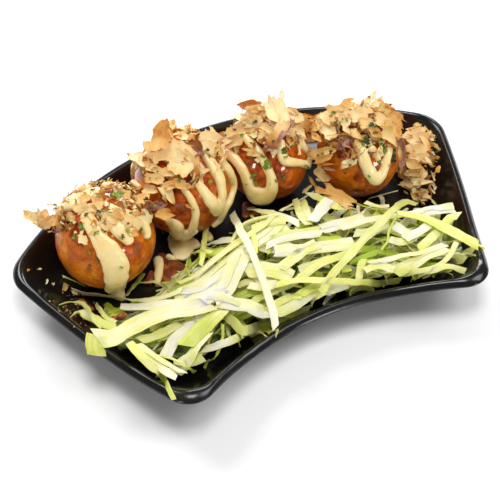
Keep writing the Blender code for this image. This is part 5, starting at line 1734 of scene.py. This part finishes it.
shade = math_node(tree, "ADD", streaked, toward_edge, clamp=True)
leaf_color = color_ramp(tree, shade, [
    (0.0, (0.95, 0.93, 0.64)), (0.2, (0.92, 0.88, 0.40)), (0.42, (0.76, 0.79, 0.19)),
    (0.68, (0.52, 0.63, 0.06)), (1.0, (0.30, 0.44, 0.02))])
finish_surface(tree, shader, leaf_color, middle_remap(tree, leaf["Grain"], 0.32, 0.50),
               veins.outputs["Fac"], 0.25 * MM, 0.6)
cabbage = sweep_strips("cabbage_shreds", strips, cabbage_material, thickness=0.32 * MM, cup=-0.14,
                       ripple=1.3 * MM, ripple_size=8 * MM)
print("cabbage:", triangle_count(cabbage), "triangles")


# %% The bed under the shreds
# The heart of the bed is never seen clearly, so it is the imported heap, sunk and shrunk,
# with relief like shreds pressed together. Its colour is painted shade: the dark green seen
# between shreds.
CORE_LENGTH, CORE_DEPTH, CORE_HEIGHT = 0.9, 0.72, 0.55
CORE_FOOT = 5.4 * MM
CORE_GAP = 0.4 * MM
core_build = clean_copy("cabbage")
for vertex in core_build.verts:
    ground = drop_on(dish_tree, vertex.co.x, vertex.co.y) or 0.0
    middle = np.interp(vertex.co.x / MM, BED_X, BED_LINE) * MM
    vertex.co.y = middle + (vertex.co.y - middle) * CORE_DEPTH
    vertex.co.x *= CORE_LENGTH
    vertex.co.z = max(ground + CORE_GAP, CORE_FOOT + (vertex.co.z - CORE_FOOT) * CORE_HEIGHT)
core_material, tree, shader = start_material("packed_cabbage")
core_shade_blotches = add_group(tree, BLOTCHES, Blotch_Size=0.006, Grain_Size=0.0015, Contrast=2.4)
# Painted shade: dark green blotches stand in for the shadow between the shreds
shadowed = color_ramp(tree, core_shade_blotches["Blotch"], [
    (0.0, (0.02, 0.03, 0.005)), (0.5, (0.16, 0.22, 0.04)), (1.0, (0.50, 0.56, 0.20))])
knots = add_group(tree, CRUMPLE, Wrinkle_Size=0.004, Pit_Size=0.002, Pit_Share=0.6)
finish_surface(tree, shader, shadowed, 0.6, knots["Height"], 1.5 * MM, 1.0)
core = new_piece("cabbage_core", to_mesh(core_build, "cabbage_core"), core_material)
core = subdivided(core, levels=1)
print("core:", triangle_count(core), "triangles")

# %% [markdown]
# ## Crumbs
# Bits of shaving and batter fall beside the balls. The larger ones are listed and the rest
# placed at random. The tree that laid the heaps lays them too, on the dish below each point.

# %% Crumbs on the plate
# (x, y, length and width in mm, tint)
LAID_CRUMBS = [
    (-95, 28, 3.4, 1.9, 0.06), (-100, 26, 2.4, 1.5, 0.5), (-94, 22, 3.6, 1.6, 0.02),
    (-92, 21, 2.8, 1.4, 0.04), (-101, 38, 5, 2, 0.06), (-88, 18, 6.5, 2.6, 0.3),
    (-85, 16, 5, 2.4, 0.24), (-66, -29, 6, 1.6, 0.62), (-84, 0, 4.4, 1.8, 0.74), (-82, -3, 4, 2, 0.66),
    (-86, 9, 3, 1.6, 0.72), (-79, -2, 4.6, 2.2, 0.78), (-87, 4, 2.2, 1.2, 0.55),
    (-60, 8, 1.6, 1.2, 0.5), (-72, -46, 1.4, 1, 0.3), (-8, -57, 1, 0.8, 0.2),
]
STRAY_CRUMBS = 90
STRAY_X, STRAY_Y = (-86, 5), (8, 9)
CRUMB_TILT = 0.25
crumb_rows = list(LAID_CRUMBS)
for _ in range(STRAY_CRUMBS):
    crumb_rows.append((random.normal(*STRAY_X), random.normal(*STRAY_Y), random.uniform(0.4, 1.6),
                       random.uniform(0.3, 1.0), random.choice([0.1, 0.4, 0.66, 0.76])))
crumb_spots = []
for x, y, length, width, tint in crumb_rows:
    ground = drop_on(dish_tree, x * MM, y * MM)
    if ground is not None:
        turn = laid_turn(Vector((0, 0, 1)), random.uniform(0, FULL_TURN), random.normal(0, CRUMB_TILT),
                         random.normal(0, CRUMB_TILT))
        family = "taper" if length > 4 else "shard" if length > 2 else "crumb"
        crumb_spots.append((Vector((x * MM, y * MM, ground + 0.25 * MM)), turn,
                            (length * MM, width * MM, (length + width) / 2 * MM),
                            int(random.choice(FAMILY_KINDS[family])), tint, tint))
crumbs = lay_pieces("plate_crumbs", crumb_spots, kinds, shaving_material)
print("crumbs:", len(crumb_spots))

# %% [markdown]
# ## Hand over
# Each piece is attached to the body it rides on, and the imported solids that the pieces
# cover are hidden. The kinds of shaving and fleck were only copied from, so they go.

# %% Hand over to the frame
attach(plate, "root")
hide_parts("plate")
for name, item in crusts.items():
    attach(item, "root")
    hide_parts(name)
for heap, item in flake_pieces.items():
    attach(item, "root")
    if heap in NODES:
        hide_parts(heap)
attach(cabbage, "root")
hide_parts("cabbage")
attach(core, "root")
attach(mayo, "root")
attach(sauce, "root")
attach(herbs, "root")
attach(crumbs, "root")
for collection in (kinds, flecks):
    for item in list(collection.objects):
        bpy.data.objects.remove(item)
    bpy.data.collections.remove(collection)
